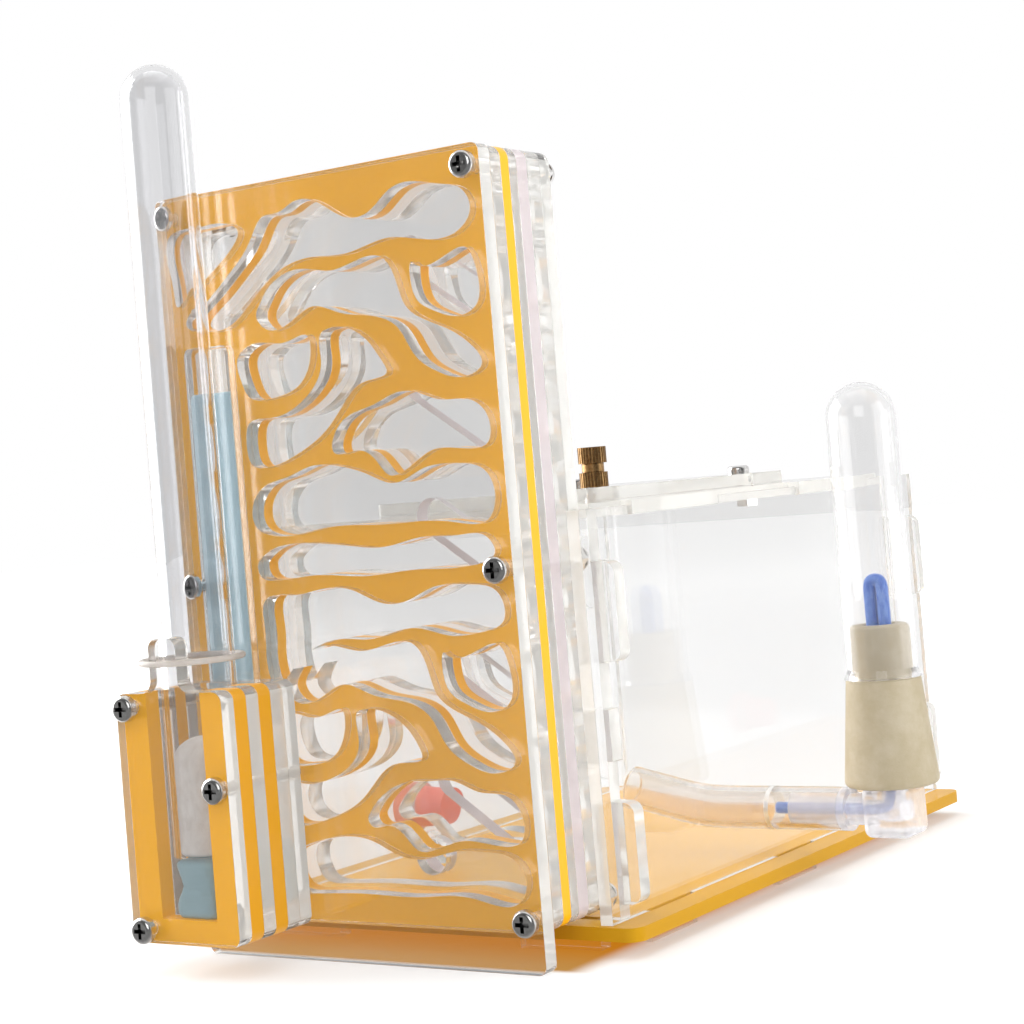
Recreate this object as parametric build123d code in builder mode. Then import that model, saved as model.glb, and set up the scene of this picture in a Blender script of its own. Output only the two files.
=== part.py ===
from build123d import *
import os

# Ant habitat: a nest tower of stacked acrylic sheets with tunnels, a watering module on its
# front, a foraging box behind it and a feeder tube on the box's right side port.
# X runs along the tower's front, Y back into the box, Z up. Millimetres.
# Origin: the middle of the foot of the tower's front cover, on the ground.

# ---- nest tower ----
tower_width = 92.8
tower_height = 174.4
sheet_foot_height = 8.0
front_cover_thickness = 4.0
clear_tunnel_thickness = 4.0
amber_tunnel_thickness = 3.0
divider_thickness = 3.0
gallery_spacer_thickness = 4.0
rear_gallery_thickness = 5.0
back_cover_thickness = 4.0
sheet_gap = 0.05
sheet_corner_radius = 3.0
cover_corner_radius = 2.0

# ---- M3 fasteners ----
screw_radius = 1.5
screw_head_radius = 2.95
screw_head_height = 2.2
screw_head_round = 1.0
screw_hole_clearance = 0.1
recess_length = 3.4
recess_width = 0.9
recess_depth = 1.3
nut_radius = 3.1
nut_height = 2.6
nut_dome_radius = 2.9
nut_wall_over_thread = 1.0
thread_clearance = 0.02
tower_screw_inset = 3.8
tower_screw_top_inset = 4.4
tower_screw_middle_height = 84.7
tower_screw_bottom_height = 10.9

# ---- tunnels, on a drawing stretched to the tower ----
drawing_width = 92.8
drawing_height = 174.4
lower_tunnel_shift = -84.2
ramp_width = 8.0
ramp_spacing = 29.0
ramp_slope = -35.0
ramp_length = 20.0
ramp_column_x = 73.0
ramp_lowest_height = 33.0
ramp_count = 5
passage_radius = 4.0
passage_height = 22.0
passage_offset = 6.0
divider_passage_offset = 12.0

# ---- humidity sponge in its slot ----
sponge_slot_left = 5.0
sponge_slot_width = 12.6
sponge_slot_bottom = 60.0
sponge_slot_top = 139.5
sponge_slot_radius = 2.0
sponge_height = 68.5
sponge_clearance = 0.3

# ---- watering module ----
module_width = 31.0
module_height = 55.0
module_cover_thickness = 4.0
module_amber_thickness = 4.0
module_spacer_thickness = 4.0
module_rear_amber_thickness = 4.0
module_inner_thickness = 4.0
module_back_thickness = 4.0
module_corner_radius = 2.5
module_window_floor = 5.0
module_screw_inset = 3.2
module_middle_screw_height = 41.9
tongue_width = 8.0
tongue_height = 12.0
tongue_round = 2.5
tongue_foot_round = 3.0
corner_match = 0.05

# ---- water tube ----
water_tube_radius = 7.9
water_tube_wall = 1.4
water_tube_axis_x = 14.9
water_tube_length = 176.5
tube_clearance = 0.1
soft_clearance = 0.3
sponge_block_height = 13.0
cotton_length = 26.0
ring_section = 1.4
ring_height_on_tongue = 6.5

# ---- foraging box ----
box_side_gap = 2.9
box_wall_thickness = 3.0
box_rear_position = 185.6
side_wall_front = 15.8
side_wall_overhang = 6.0
base_thickness = 3.0
base_foot_gap = 3.7
base_side_overhang = 6.7
base_front_lead = 1.1
base_rear_overhang = 0.6
base_corner_radius = 3.5
wall_top_height = 95.5
top_plate_thickness = 3.1
top_plate_lip = 1.1
joint_clearance = 0.1
tenon_reach = 4.2
tenon_height = 21.8
upper_tenon_bottom = 62.3
lower_tenon_bottom = 10.3
tenon_corner_radius = 2.5
finger_bottom = 41.0
finger_height = 11.0
foot_tab_length = 20.5
foot_tab_first = 41.5
foot_tab_spacing = 61.5
cover_tab_length = 20.0
cover_tab_inset = 1.0
top_tab_length = 40.0
top_tab_front_offset = 13.0
top_tab_spacing = 83.5

# ---- hatch ----
hatch_width = 67.0
hatch_length = 69.2
hatch_thickness = 3.0
hatch_front_position = 63.5
hatch_gap = 0.25
hatch_corner_radius = 1.5
hatch_overlap = 7.5
strip_length = 16.9
strip_screw_spacing = 50.0
ear_width = 6.0
ear_inset = 5.0
pin_radius = 0.75
pin_engagement = 4.0
pin_clearance = 0.05
knob_side_inset = 9.0
knob_front_inset = 4.8
knob_band_radius = 3.45
knob_neck_radius = 2.7
knob_lower_band = 3.6
knob_neck_length = 2.2
knob_upper_band = 3.9
knurl_radius = 0.22
knurl_count = 28
knob_screw_head_radius = 2.8
knob_screw_head_depth = 1.6
knob_screw_recess = 1.2

# ---- side ports ----
port_y = 95.2
port_height = 18.3
hose_outer_radius = 5.2
hose_inner_radius = 3.8
hose_fit = 0.05
plug_head_radius = 6.6
plug_head_length = 3.0
plug_tip_length = 8.0
plug_taper = 0.6

# ---- feeder ----
hose_end_reach = 17.8
hose_inside_run = 12.0
hose_bend_radius = 60.0
hose_bend_angle = 13.0
hose_tail_run = 14.0
elbow_size = 12.0
elbow_round = 2.0
elbow_axis_reach = 30.8
elbow_leg_radius = 3.75
elbow_bore_radius = 2.4
elbow_leg_insertion = 13.0
elbow_collar_radius = 5.2
elbow_collar_length = 2.0
elbow_spigot_radius = 3.6
elbow_spigot_length = 7.0
stopper_bottom_radius = 11.2
stopper_shoulder_radius = 8.8
stopper_lower_length = 25.2
stopper_plug_length = 12.6
stopper_plug_radius = 7.05
stopper_tip_radius = 6.8
stopper_bore_radius = 3.7
feeder_tube_radius = 8.25
feeder_tube_wall = 1.1
feeder_rim_radius = 9.15
feeder_rim_length = 2.2
feeder_tube_length = 69.8
wick_radius = 1.4
wick_strand_spacing = 3.4
wick_top_height = 74.0
wick_end_reach = 4.5
wick_return_depth = 6.0
wick_drift_length = 6.0
wick_drift_radius = 6.0

# ---- derived positions ----
tower_left = -tower_width / 2
front_cover_back = front_cover_thickness / 2
front_cover_front = -front_cover_thickness / 2
clear_tunnel_front = front_cover_back + sheet_gap
clear_tunnel_back = clear_tunnel_front + clear_tunnel_thickness
amber_tunnel_front = clear_tunnel_back + sheet_gap
amber_tunnel_back = amber_tunnel_front + amber_tunnel_thickness
divider_front = amber_tunnel_back + sheet_gap
divider_back = divider_front + divider_thickness
gallery_spacer_front = divider_back + sheet_gap
gallery_spacer_back = gallery_spacer_front + gallery_spacer_thickness
rear_gallery_front = gallery_spacer_back + sheet_gap
rear_gallery_back = rear_gallery_front + rear_gallery_thickness
back_cover_front = rear_gallery_back + sheet_gap
back_cover_back = back_cover_front + back_cover_thickness

tower_screw_x = tower_width / 2 - tower_screw_inset
tower_screw_top_height = tower_height - tower_screw_top_inset
tower_screw_points = [
    (-tower_screw_x, tower_screw_top_height),
    (tower_screw_x, tower_screw_top_height),
    (-tower_screw_x, tower_screw_middle_height),
    (tower_screw_x, tower_screw_middle_height),
    (tower_screw_x, tower_screw_bottom_height),
]
corner_screw_point = (-tower_screw_x, tower_screw_bottom_height)
screw_hole_radius = screw_radius + screw_hole_clearance
nut_bore_radius = screw_radius + thread_clearance

module_left = tower_left
module_right = module_left + module_width
module_bottom = sheet_foot_height
module_top = module_bottom + module_height
module_back_back = front_cover_front - sheet_gap
module_back_front = module_back_back - module_back_thickness
module_inner_back = module_back_front - sheet_gap
module_inner_front = module_inner_back - module_inner_thickness
module_rear_amber_back = module_inner_front - sheet_gap
module_rear_amber_front = module_rear_amber_back - module_rear_amber_thickness
module_spacer_back = module_rear_amber_front - sheet_gap
module_spacer_front = module_spacer_back - module_spacer_thickness
module_amber_back = module_spacer_front - sheet_gap
module_amber_front = module_amber_back - module_amber_thickness
module_cover_back = module_amber_front - sheet_gap
module_cover_front = module_cover_back - module_cover_thickness
module_screw_points = [
    (module_left + module_screw_inset, module_top - module_screw_inset),
    (module_right - module_screw_inset, module_middle_screw_height),
]
module_window_width = 2 * (water_tube_radius + tube_clearance)
module_window_bottom = module_bottom + module_window_floor

tube_x = module_left + water_tube_axis_x
tube_y = (module_amber_front + module_inner_back) / 2
tube_inner_radius = water_tube_radius - water_tube_wall
sponge_block_top = module_window_bottom + sponge_block_height
tube_mouth_height = sponge_block_top + soft_clearance

base_bottom = base_foot_gap
base_top = base_bottom + base_thickness
wall_inner_x = tower_width / 2 + box_side_gap
wall_outer_x = wall_inner_x + box_wall_thickness
box_outer_width = 2 * wall_outer_x
rear_wall_front = box_rear_position - box_wall_thickness
side_wall_back = box_rear_position + side_wall_overhang
side_wall_length = side_wall_back - side_wall_front
base_width = box_outer_width + 2 * base_side_overhang
base_front = side_wall_front - base_front_lead
base_back = side_wall_back + base_rear_overhang
top_plate_top = wall_top_height + top_plate_lip
top_plate_bottom = top_plate_top - top_plate_thickness
top_plate_front = back_cover_back + joint_clearance
top_plate_back = rear_wall_front - joint_clearance
foot_tab_positions = [foot_tab_first + foot_tab_spacing * step for step in range(3)]
top_tab_positions = [
    top_plate_front + top_tab_front_offset + top_tab_length / 2 + top_tab_spacing * step
    for step in range(2)
]
cover_tab_x = tower_width / 2 - cover_tab_inset - cover_tab_length / 2
tenon_middle_heights = [upper_tenon_bottom + tenon_height / 2, lower_tenon_bottom + tenon_height / 2]
finger_middle = finger_bottom + finger_height / 2

hatch_bottom = top_plate_top + sheet_gap
hatch_top = hatch_bottom + hatch_thickness
hinge_height = hatch_bottom + hatch_thickness / 2
hinge_y = hatch_front_position + hatch_length - hatch_thickness / 2
strip_front = hinge_y + hatch_thickness / 2 + hatch_gap
ear_x = hatch_width / 2 - ear_inset
strip_screw_y = strip_front + strip_length / 2
strip_screw_x = strip_screw_spacing / 2
knob_x = hatch_width / 2 - knob_side_inset
knob_y = hatch_front_position + knob_front_inset

port_radius = hose_outer_radius + hose_fit
hose_outer_end = wall_outer_x + hose_end_reach
hose_inner_end = wall_inner_x - hose_inside_run
elbow_x = wall_outer_x + elbow_axis_reach
elbow_leg_end = hose_outer_end - elbow_leg_insertion
elbow_top = port_height + elbow_size / 2
spigot_top = elbow_top + elbow_spigot_length
stopper_bottom = elbow_top
stopper_shoulder = stopper_bottom + stopper_lower_length
stopper_top = stopper_shoulder + stopper_plug_length
feeder_inner_radius = feeder_tube_radius - feeder_tube_wall
feeder_mouth = stopper_shoulder + sheet_gap


def sheet_plane(back):
    """Upright plane whose sketches extrude forwards from the given back face."""
    return Plane.XZ.offset(-back)


def on_sheet(points, shift=0.0):
    """Points of the tunnel drawing, stretched to the tower."""
    across = tower_width / drawing_width
    upward = tower_height / drawing_height
    return [(tower_left + x * across, (z + shift) * upward) for x, z in points]


def closed_curve(points):
    """One smooth closed face through the points, added to the sketch in hand."""
    with BuildLine() as curve:
        Spline(*points, periodic=True)
    make_face(curve.edges())


def sheet_outline(width, bottom, top, corner_radius):
    """Rounded upright rectangle, centred on X."""
    with Locations((0, (bottom + top) / 2)):
        RectangleRounded(width, top - bottom, corner_radius)


# ---- tunnel drawing: x from the tower's left edge, z from the ground ----
left_chamber = [(2, 158), (3, 166), (12, 167.2), (20, 167), (23.5, 165), (20, 160), (12, 154.5), (4, 149.5)]
top_gallery = [
    (38, 168.2), (49, 167), (55, 163.6), (61, 164), (67, 168), (73, 169), (80, 167.4), (86, 165.5),
    (87.9, 161), (85, 157.2), (76, 156), (66, 157.7), (54, 155.8), (43, 156.2), (34, 154), (27, 149.2),
    (20, 144), (12, 143), (7, 145), (12, 149.5), (20, 155.5), (26.5, 161.5), (31, 167),
]
diagonal_gallery = [
    (29, 148.5), (34, 152.7), (41, 154), (49, 152.6), (57, 154), (63.5, 153.8), (66.7, 149), (69, 142.5),
    (76, 138), (84, 133.5), (87.6, 128), (83.5, 125.9), (76, 127.6), (70.5, 131.5), (66.5, 138),
    (60, 141.3), (51, 143), (43.5, 145.3), (37, 142.6), (29, 142), (27, 145),
]
right_chamber = [
    (72, 151.5), (80, 151.8), (86, 153), (88, 149), (87.3, 140.5), (83, 138.8), (76, 140.8), (71, 146.5),
]
curved_chamber = [
    (21.4, 137), (26.6, 138.9), (35, 138.2), (41.2, 139), (41.5, 133.5), (37.5, 128), (30, 126), (23.3, 126.7),
    (20.9, 131),
]
descending_chamber = [
    (46, 139.6), (52, 139.7), (57, 137), (61, 132), (62.5, 129), (56, 127.2), (50.5, 123.5), (44, 117.2),
    (36, 113), (27.6, 110.6), (22.4, 111.4), (21.1, 116), (22.4, 120.9), (28.6, 121.6), (36, 123.3), (42, 127.5),
    (44.6, 133),
]
fork_gallery = [
    (46, 115), (52, 120.6), (58, 122), (64, 124), (69, 124), (76, 121.6), (84, 120.8), (88, 117),
    (87.5, 111.5), (82, 110.6), (73, 111), (66, 107.5), (61, 106.4), (57.5, 110), (53, 112.4), (46, 112.7),
]
wide_gallery = [
    (22.2, 103.5), (26, 106.6), (32.4, 108), (39, 109.9), (48, 109.2), (55, 107), (62, 104.6), (70, 107.2),
    (79, 107.7), (86, 105.8), (88.2, 101), (86.5, 95.7), (76, 95.4), (60, 95.8), (42, 96), (27, 95),
    (21.9, 97.5),
]
middle_gallery = [
    (22.1, 89.5), (26.8, 92.2), (36, 92.9), (48, 91.7), (58, 90.9), (68, 92.5), (78, 92.4), (85.5, 91.4),
    (87, 88.8), (80, 85.7), (66, 85.6), (52, 84.8), (38, 85.6), (26.8, 84.9), (22, 86.4),
]
long_gallery = [
    (22, 76), (23.5, 81), (31, 81.4), (39, 82.4), (48, 81.9), (56, 78.7), (63, 79), (70, 81.6),
    (80, 81.8), (87, 79.6), (87.8, 74), (82, 71.6), (74, 71), (64, 73), (52, 70.9), (44, 71.2),
    (35, 68.9), (28.5, 64), (24, 61), (22, 66),
]
low_chamber = [(22, 53), (28, 55), (36, 54), (42.5, 55.4), (42.5, 50), (38.5, 44.8), (30, 43), (23, 44), (21, 48)]
low_descending_chamber = [
    (47.5, 55.4), (53, 55.3), (58, 53), (62.5, 48), (63.5, 45), (57, 43.7), (51, 40.4), (46, 35.6),
    (38, 31.8), (30, 29.6), (24, 30), (21.5, 34), (23.5, 38.4), (31, 39), (38, 40.3), (44, 43.6), (46.5, 48.5),
]
low_fork_gallery = [
    (47.5, 32), (53, 37.4), (59, 39.7), (65, 39.9), (71, 40), (78, 37.6), (85, 36.8), (88.2, 33),
    (87.6, 27.4), (81, 26.4), (73, 27.2), (66, 25.4), (60.5, 24.8), (57, 28), (53, 30), (48, 30.1),
]
bottom_gallery = [
    (24, 23.5), (31, 25.8), (40, 27.4), (48, 26.6), (55, 23.6), (62, 23), (70, 24.8), (78, 25), (86, 23),
    (88, 18.5), (86, 14.6), (74, 14.9), (60, 14.7), (44, 14.9), (30, 14.4), (24, 16),
]
upper_openings = [
    left_chamber, top_gallery, diagonal_gallery, right_chamber, curved_chamber, descending_chamber,
    fork_gallery, wide_gallery, middle_gallery,
]
repeated_openings = [diagonal_gallery, right_chamber]
lower_openings = [long_gallery, low_chamber, low_descending_chamber, low_fork_gallery, bottom_gallery]

with BuildSketch() as tunnel_drawing:
    for outline in upper_openings + lower_openings:
        closed_curve(on_sheet(outline))
    for outline in repeated_openings:
        closed_curve(on_sheet(outline, lower_tunnel_shift))
    slot_corner = on_sheet([(sponge_slot_left, sponge_slot_bottom)])[0]
    slot_end = on_sheet([(sponge_slot_left + sponge_slot_width, sponge_slot_top)])[0]
    slot_width = slot_end[0] - slot_corner[0]
    slot_height = slot_end[1] - slot_corner[1]
    slot_x = (slot_corner[0] + slot_end[0]) / 2
    with Locations((slot_x, (slot_corner[1] + slot_end[1]) / 2)):
        RectangleRounded(slot_width, slot_height, sponge_slot_radius)

with BuildSketch() as ramp_drawing:
    for step in range(ramp_count):
        with Locations(*on_sheet([(ramp_column_x, ramp_lowest_height + step * ramp_spacing)])):
            SlotOverall(ramp_length + ramp_width, ramp_width, rotation=ramp_slope)


def tower_screw_holes():
    """Clearance holes for all six tower screws, cut from the sketch in hand."""
    with Locations(*tower_screw_points, corner_screw_point):
        Circle(screw_hole_radius, mode=Mode.SUBTRACT)


# ---- nest tower sheets, front to back ----
with BuildPart() as front_cover:
    with BuildSketch(sheet_plane(front_cover_back)):
        sheet_outline(tower_width, 0, tower_height, cover_corner_radius)
        tower_screw_holes()
        with Locations(*module_screw_points):
            Circle(screw_radius + thread_clearance, mode=Mode.SUBTRACT)
    extrude(amount=front_cover_thickness)
front_cover.part.label = "front_cover"

with BuildPart() as tunnel_plate_clear:
    with BuildSketch(sheet_plane(clear_tunnel_back)):
        sheet_outline(tower_width, sheet_foot_height, tower_height, sheet_corner_radius)
        add(tunnel_drawing.sketch, mode=Mode.SUBTRACT)
        tower_screw_holes()
    extrude(amount=clear_tunnel_thickness)
tunnel_plate_clear.part.label = "tunnel_plate_clear"

with BuildPart() as tunnel_plate_amber:
    with BuildSketch(sheet_plane(amber_tunnel_back)):
        sheet_outline(tower_width, sheet_foot_height, tower_height, sheet_corner_radius)
        add(tunnel_drawing.sketch, mode=Mode.SUBTRACT)
        tower_screw_holes()
    extrude(amount=amber_tunnel_thickness)
tunnel_plate_amber.part.label = "tunnel_plate_amber"

with BuildPart() as divider_plate:
    with BuildSketch(sheet_plane(divider_back)):
        sheet_outline(tower_width, sheet_foot_height, tower_height, sheet_corner_radius)
        tower_screw_holes()
        with Locations((divider_passage_offset, passage_height)):
            Circle(passage_radius, mode=Mode.SUBTRACT)
    extrude(amount=divider_thickness)
divider_plate.part.label = "divider_plate"

with BuildPart() as gallery_spacer:
    with BuildSketch(sheet_plane(gallery_spacer_back)):
        sheet_outline(tower_width, sheet_foot_height, tower_height, sheet_corner_radius)
        add(ramp_drawing.sketch, mode=Mode.SUBTRACT)
        tower_screw_holes()
        with Locations((divider_passage_offset, passage_height)):
            Circle(passage_radius, mode=Mode.SUBTRACT)
    extrude(amount=gallery_spacer_thickness)
gallery_spacer.part.label = "gallery_spacer"

with BuildPart() as rear_gallery_plate:
    with BuildSketch(sheet_plane(rear_gallery_back)):
        sheet_outline(tower_width, sheet_foot_height, tower_height, sheet_corner_radius)
        add(tunnel_drawing.sketch, mode=Mode.SUBTRACT)
        tower_screw_holes()
    extrude(amount=rear_gallery_thickness)
rear_gallery_plate.part.label = "rear_gallery_plate"


def wall_tenons(middle_heights, reach):
    """Tenons that leave a wall plate on both sides, added to the sketch in hand."""
    tenon_end = wall_outer_x + reach
    for middle in middle_heights:
        with Locations((0, middle)):
            RectangleRounded(2 * tenon_end, tenon_height, tenon_corner_radius)


def foot_tabs(positions, length):
    """Tabs through the base plate down to the ground, added to the sketch in hand."""
    tab_top = base_top + joint_clearance
    for position in positions:
        with Locations((position, tab_top / 2)):
            Rectangle(length, tab_top)


with BuildPart() as back_cover:
    with BuildSketch(sheet_plane(back_cover_back)):
        sheet_outline(tower_width, sheet_foot_height, tower_height, sheet_corner_radius)
        front_wall_bottom = base_top + joint_clearance
        with Locations((0, (front_wall_bottom + wall_top_height) / 2)):
            Rectangle(2 * (wall_inner_x - joint_clearance), wall_top_height - front_wall_bottom)
        wall_tenons(tenon_middle_heights, tenon_reach)
        with Locations((0, finger_middle)):
            Rectangle(box_outer_width, finger_height)
        foot_tabs([-cover_tab_x, cover_tab_x], cover_tab_length)
        tower_screw_holes()
        with Locations((passage_offset, passage_height)):
            Circle(passage_radius, mode=Mode.SUBTRACT)
    extrude(amount=back_cover_thickness)
back_cover.part.label = "back_cover"

with BuildPart() as humidity_sponge:
    with BuildSketch(sheet_plane(amber_tunnel_back - sponge_clearance)):
        sponge_bottom = slot_corner[1] + sponge_clearance
        with Locations((slot_x, sponge_bottom + sponge_height / 2)):
            Rectangle(slot_width - 2 * sponge_clearance, sponge_height)
    extrude(amount=amber_tunnel_back - clear_tunnel_front - 2 * sponge_clearance)
    fillet(humidity_sponge.edges().filter_by(Axis.Y), radius=sponge_slot_radius - sponge_clearance)
humidity_sponge.part.label = "humidity_sponge"


# ---- screws and nuts ----
def pan_screw(length):
    """Pan head screw along +Z with its shank down and its head's underside at z = 0."""
    with BuildPart() as screw:
        with BuildSketch():
            Circle(screw_head_radius)
        extrude(amount=screw_head_height)
        fillet(screw.edges().sort_by(Axis.Z)[-1], radius=screw_head_round)
        with BuildSketch():
            Circle(screw_radius)
        extrude(amount=-length)
        with BuildSketch(Plane.XY.offset(screw_head_height)):
            Rectangle(recess_length, recess_width)
            Rectangle(recess_width, recess_length)
        extrude(amount=-recess_depth, mode=Mode.SUBTRACT)
    return screw.part


def cap_nut():
    """Domed cap nut on the +Z side of z = 0, open downwards."""
    with BuildPart() as nut:
        with BuildSketch():
            RegularPolygon(nut_radius, 6)
        extrude(amount=nut_height)
        with BuildSketch(Plane.XZ):
            with BuildLine():
                Line((0, nut_height), (nut_dome_radius, nut_height))
                CenterArc((0, nut_height), nut_dome_radius, 0, 90)
                Line((0, nut_height + nut_dome_radius), (0, nut_height))
            make_face()
        revolve(axis=Axis.Z)
        with BuildSketch():
            Circle(nut_bore_radius)
        extrude(amount=nut_height + nut_dome_radius - nut_wall_over_thread, mode=Mode.SUBTRACT)
    return nut.part


def hex_nut():
    """Plain nut on the +Z side of z = 0."""
    with BuildPart() as nut:
        with BuildSketch():
            RegularPolygon(nut_radius, 6)
            Circle(nut_bore_radius, mode=Mode.SUBTRACT)
        extrude(amount=nut_height)
    return nut.part


def front_places(points, front):
    """Places for parts whose +Z looks forwards, on the plane y = front."""
    return [Location((x, front, z), (90, 0, 0)) for x, z in points]


def back_places(points, back):
    """Places for parts whose +Z looks backwards, on the plane y = back."""
    return [Location((x, back, z), (-90, 0, 0)) for x, z in points]


tower_screw_length = back_cover_back + nut_height - front_cover_front
tower_screw = pan_screw(tower_screw_length)
with BuildPart() as tower_screws:
    for place in front_places(tower_screw_points, front_cover_front):
        add(tower_screw.moved(place))
tower_screws.part.label = "tower_screws"

tower_nut = cap_nut()
with BuildPart() as tower_nuts:
    for place in back_places(tower_screw_points + [corner_screw_point], back_cover_back):
        add(tower_nut.moved(place))
tower_nuts.part.label = "tower_nuts"

corner_screw_body = pan_screw(back_cover_back + nut_height - module_cover_front)
with BuildPart() as corner_screw:
    for place in front_places([corner_screw_point], module_cover_front):
        add(corner_screw_body.moved(place))
corner_screw.part.label = "corner_screw"

module_screw = pan_screw(front_cover_back - module_cover_front)
with BuildPart() as reservoir_screws:
    for place in front_places(module_screw_points, module_cover_front):
        add(module_screw.moved(place))
reservoir_screws.part.label = "reservoir_screws"


# ---- watering module, front to back ----
def module_outline():
    """Outline of one module sheet with its screw holes, added to the sketch in hand."""
    with Locations((module_left + module_width / 2, (module_bottom + module_top) / 2)):
        RectangleRounded(module_width, module_height, module_corner_radius)
    with Locations(*module_screw_points, corner_screw_point):
        Circle(screw_hole_radius, mode=Mode.SUBTRACT)


def module_window():
    """Tube chamber, open at the top, cut from the sketch in hand."""
    with Locations((tube_x, (module_window_bottom + module_top + module_corner_radius) / 2)):
        Rectangle(
            module_window_width, module_top + module_corner_radius - module_window_bottom,
            mode=Mode.SUBTRACT,
        )


with BuildPart() as reservoir_cover:
    with BuildSketch(sheet_plane(module_cover_back)) as cover_sketch:
        module_outline()
        with Locations((tube_x, module_top + (tongue_height - tongue_foot_round) / 2)):
            Rectangle(tongue_width, tongue_height + tongue_foot_round)
        fillet(cover_sketch.vertices().sort_by(Axis.Y)[-2:], radius=tongue_round)
        inner_corners = cover_sketch.vertices().filter_by(
            lambda corner: abs(abs(corner.X - tube_x) - tongue_width / 2) < corner_match
            and abs(corner.Y - module_top) < corner_match
        )
        fillet(inner_corners, radius=tongue_foot_round)
    extrude(amount=module_cover_thickness)
reservoir_cover.part.label = "reservoir_cover"

with BuildPart() as reservoir_frame_front:
    with BuildSketch(sheet_plane(module_amber_back)):
        module_outline()
        module_window()
    extrude(amount=module_amber_thickness)
reservoir_frame_front.part.label = "reservoir_frame_front"

with BuildPart() as reservoir_spacer:
    with BuildSketch(sheet_plane(module_spacer_back)):
        module_outline()
        module_window()
    extrude(amount=module_spacer_thickness)
reservoir_spacer.part.label = "reservoir_spacer"

with BuildPart() as reservoir_frame_rear:
    with BuildSketch(sheet_plane(module_rear_amber_back)):
        module_outline()
        module_window()
    extrude(amount=module_rear_amber_thickness)
reservoir_frame_rear.part.label = "reservoir_frame_rear"

with BuildPart() as reservoir_inner_frame:
    with BuildSketch(sheet_plane(module_inner_back)):
        module_outline()
        module_window()
    extrude(amount=module_inner_thickness)
reservoir_inner_frame.part.label = "reservoir_inner_frame"

with BuildPart() as reservoir_back:
    with BuildSketch(sheet_plane(module_back_back)):
        module_outline()
    extrude(amount=module_back_thickness)
reservoir_back.part.label = "reservoir_back"

# ---- water tube, hanging mouth down in the module ----
tube_top = tube_mouth_height + water_tube_length
with BuildPart() as water_tube:
    with BuildSketch(Plane.XZ.offset(-tube_y)):
        with BuildLine():
            tube_dome = tube_top - water_tube_radius
            Polyline(
                (tube_x + tube_inner_radius, tube_dome),
                (tube_x + tube_inner_radius, tube_mouth_height),
                (tube_x + water_tube_radius, tube_mouth_height),
                (tube_x + water_tube_radius, tube_dome),
            )
            CenterArc((tube_x, tube_dome), water_tube_radius, 0, 90)
            Line((tube_x, tube_top), (tube_x, tube_top - water_tube_wall))
            CenterArc((tube_x, tube_dome), tube_inner_radius, 0, 90)
        make_face()
    revolve(axis=Axis((tube_x, tube_y, 0), (0, 0, 1)))
water_tube.part.label = "water_tube"

with BuildPart() as cotton_plug:
    with BuildSketch(Plane((tube_x, tube_y, tube_mouth_height))):
        Circle(tube_inner_radius - tube_clearance)
    extrude(amount=cotton_length)
cotton_plug.part.label = "cotton_plug"

with BuildPart() as sponge_block:
    with BuildSketch(Plane((tube_x, tube_y, module_window_bottom))):
        chamber_depth = module_inner_back - module_amber_front
        Rectangle(module_window_width - 2 * soft_clearance, chamber_depth - 2 * soft_clearance)
    extrude(amount=sponge_block_height)
sponge_block.part.label = "sponge_block"

# The ring is pulled round the tongue's front corners and the back of the tube.
tongue_front_reach = tube_y - module_cover_front
ring_shift = (tongue_front_reach**2 + (tongue_width / 2) ** 2 - water_tube_radius**2) / (
    2 * (tongue_front_reach + water_tube_radius)
)
ring_inner_radius = water_tube_radius + ring_shift + tube_clearance
ring_height = module_top + ring_height_on_tongue
with BuildPart() as neck_ring:
    with BuildSketch(Plane.XZ.offset(-(tube_y - ring_shift))):
        with Locations((tube_x + ring_inner_radius + ring_section / 2, ring_height)):
            Circle(ring_section / 2)
    revolve(axis=Axis((tube_x, tube_y - ring_shift, 0), (0, 0, 1)))
neck_ring.part.label = "neck_ring"

# ---- foraging box ----
with BuildPart() as base_plate:
    with BuildSketch(Plane.XY.offset(base_bottom)):
        with Locations((0, (base_front + base_back) / 2)):
            RectangleRounded(base_width, base_back - base_front, base_corner_radius)
        slot_thickness = box_wall_thickness + 2 * joint_clearance
        for side in (-1, 1):
            wall_middle_x = side * (wall_outer_x - box_wall_thickness / 2)
            with Locations(*[(wall_middle_x, position) for position in foot_tab_positions]):
                Rectangle(slot_thickness, foot_tab_length + 2 * joint_clearance, mode=Mode.SUBTRACT)
        cover_middle_y = (back_cover_front + back_cover_back) / 2
        with Locations((-cover_tab_x, cover_middle_y), (cover_tab_x, cover_middle_y)):
            Rectangle(
                cover_tab_length + 2 * joint_clearance,
                back_cover_thickness + 2 * joint_clearance,
                mode=Mode.SUBTRACT,
            )
    extrude(amount=base_thickness)
base_plate.part.label = "base_plate"


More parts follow.
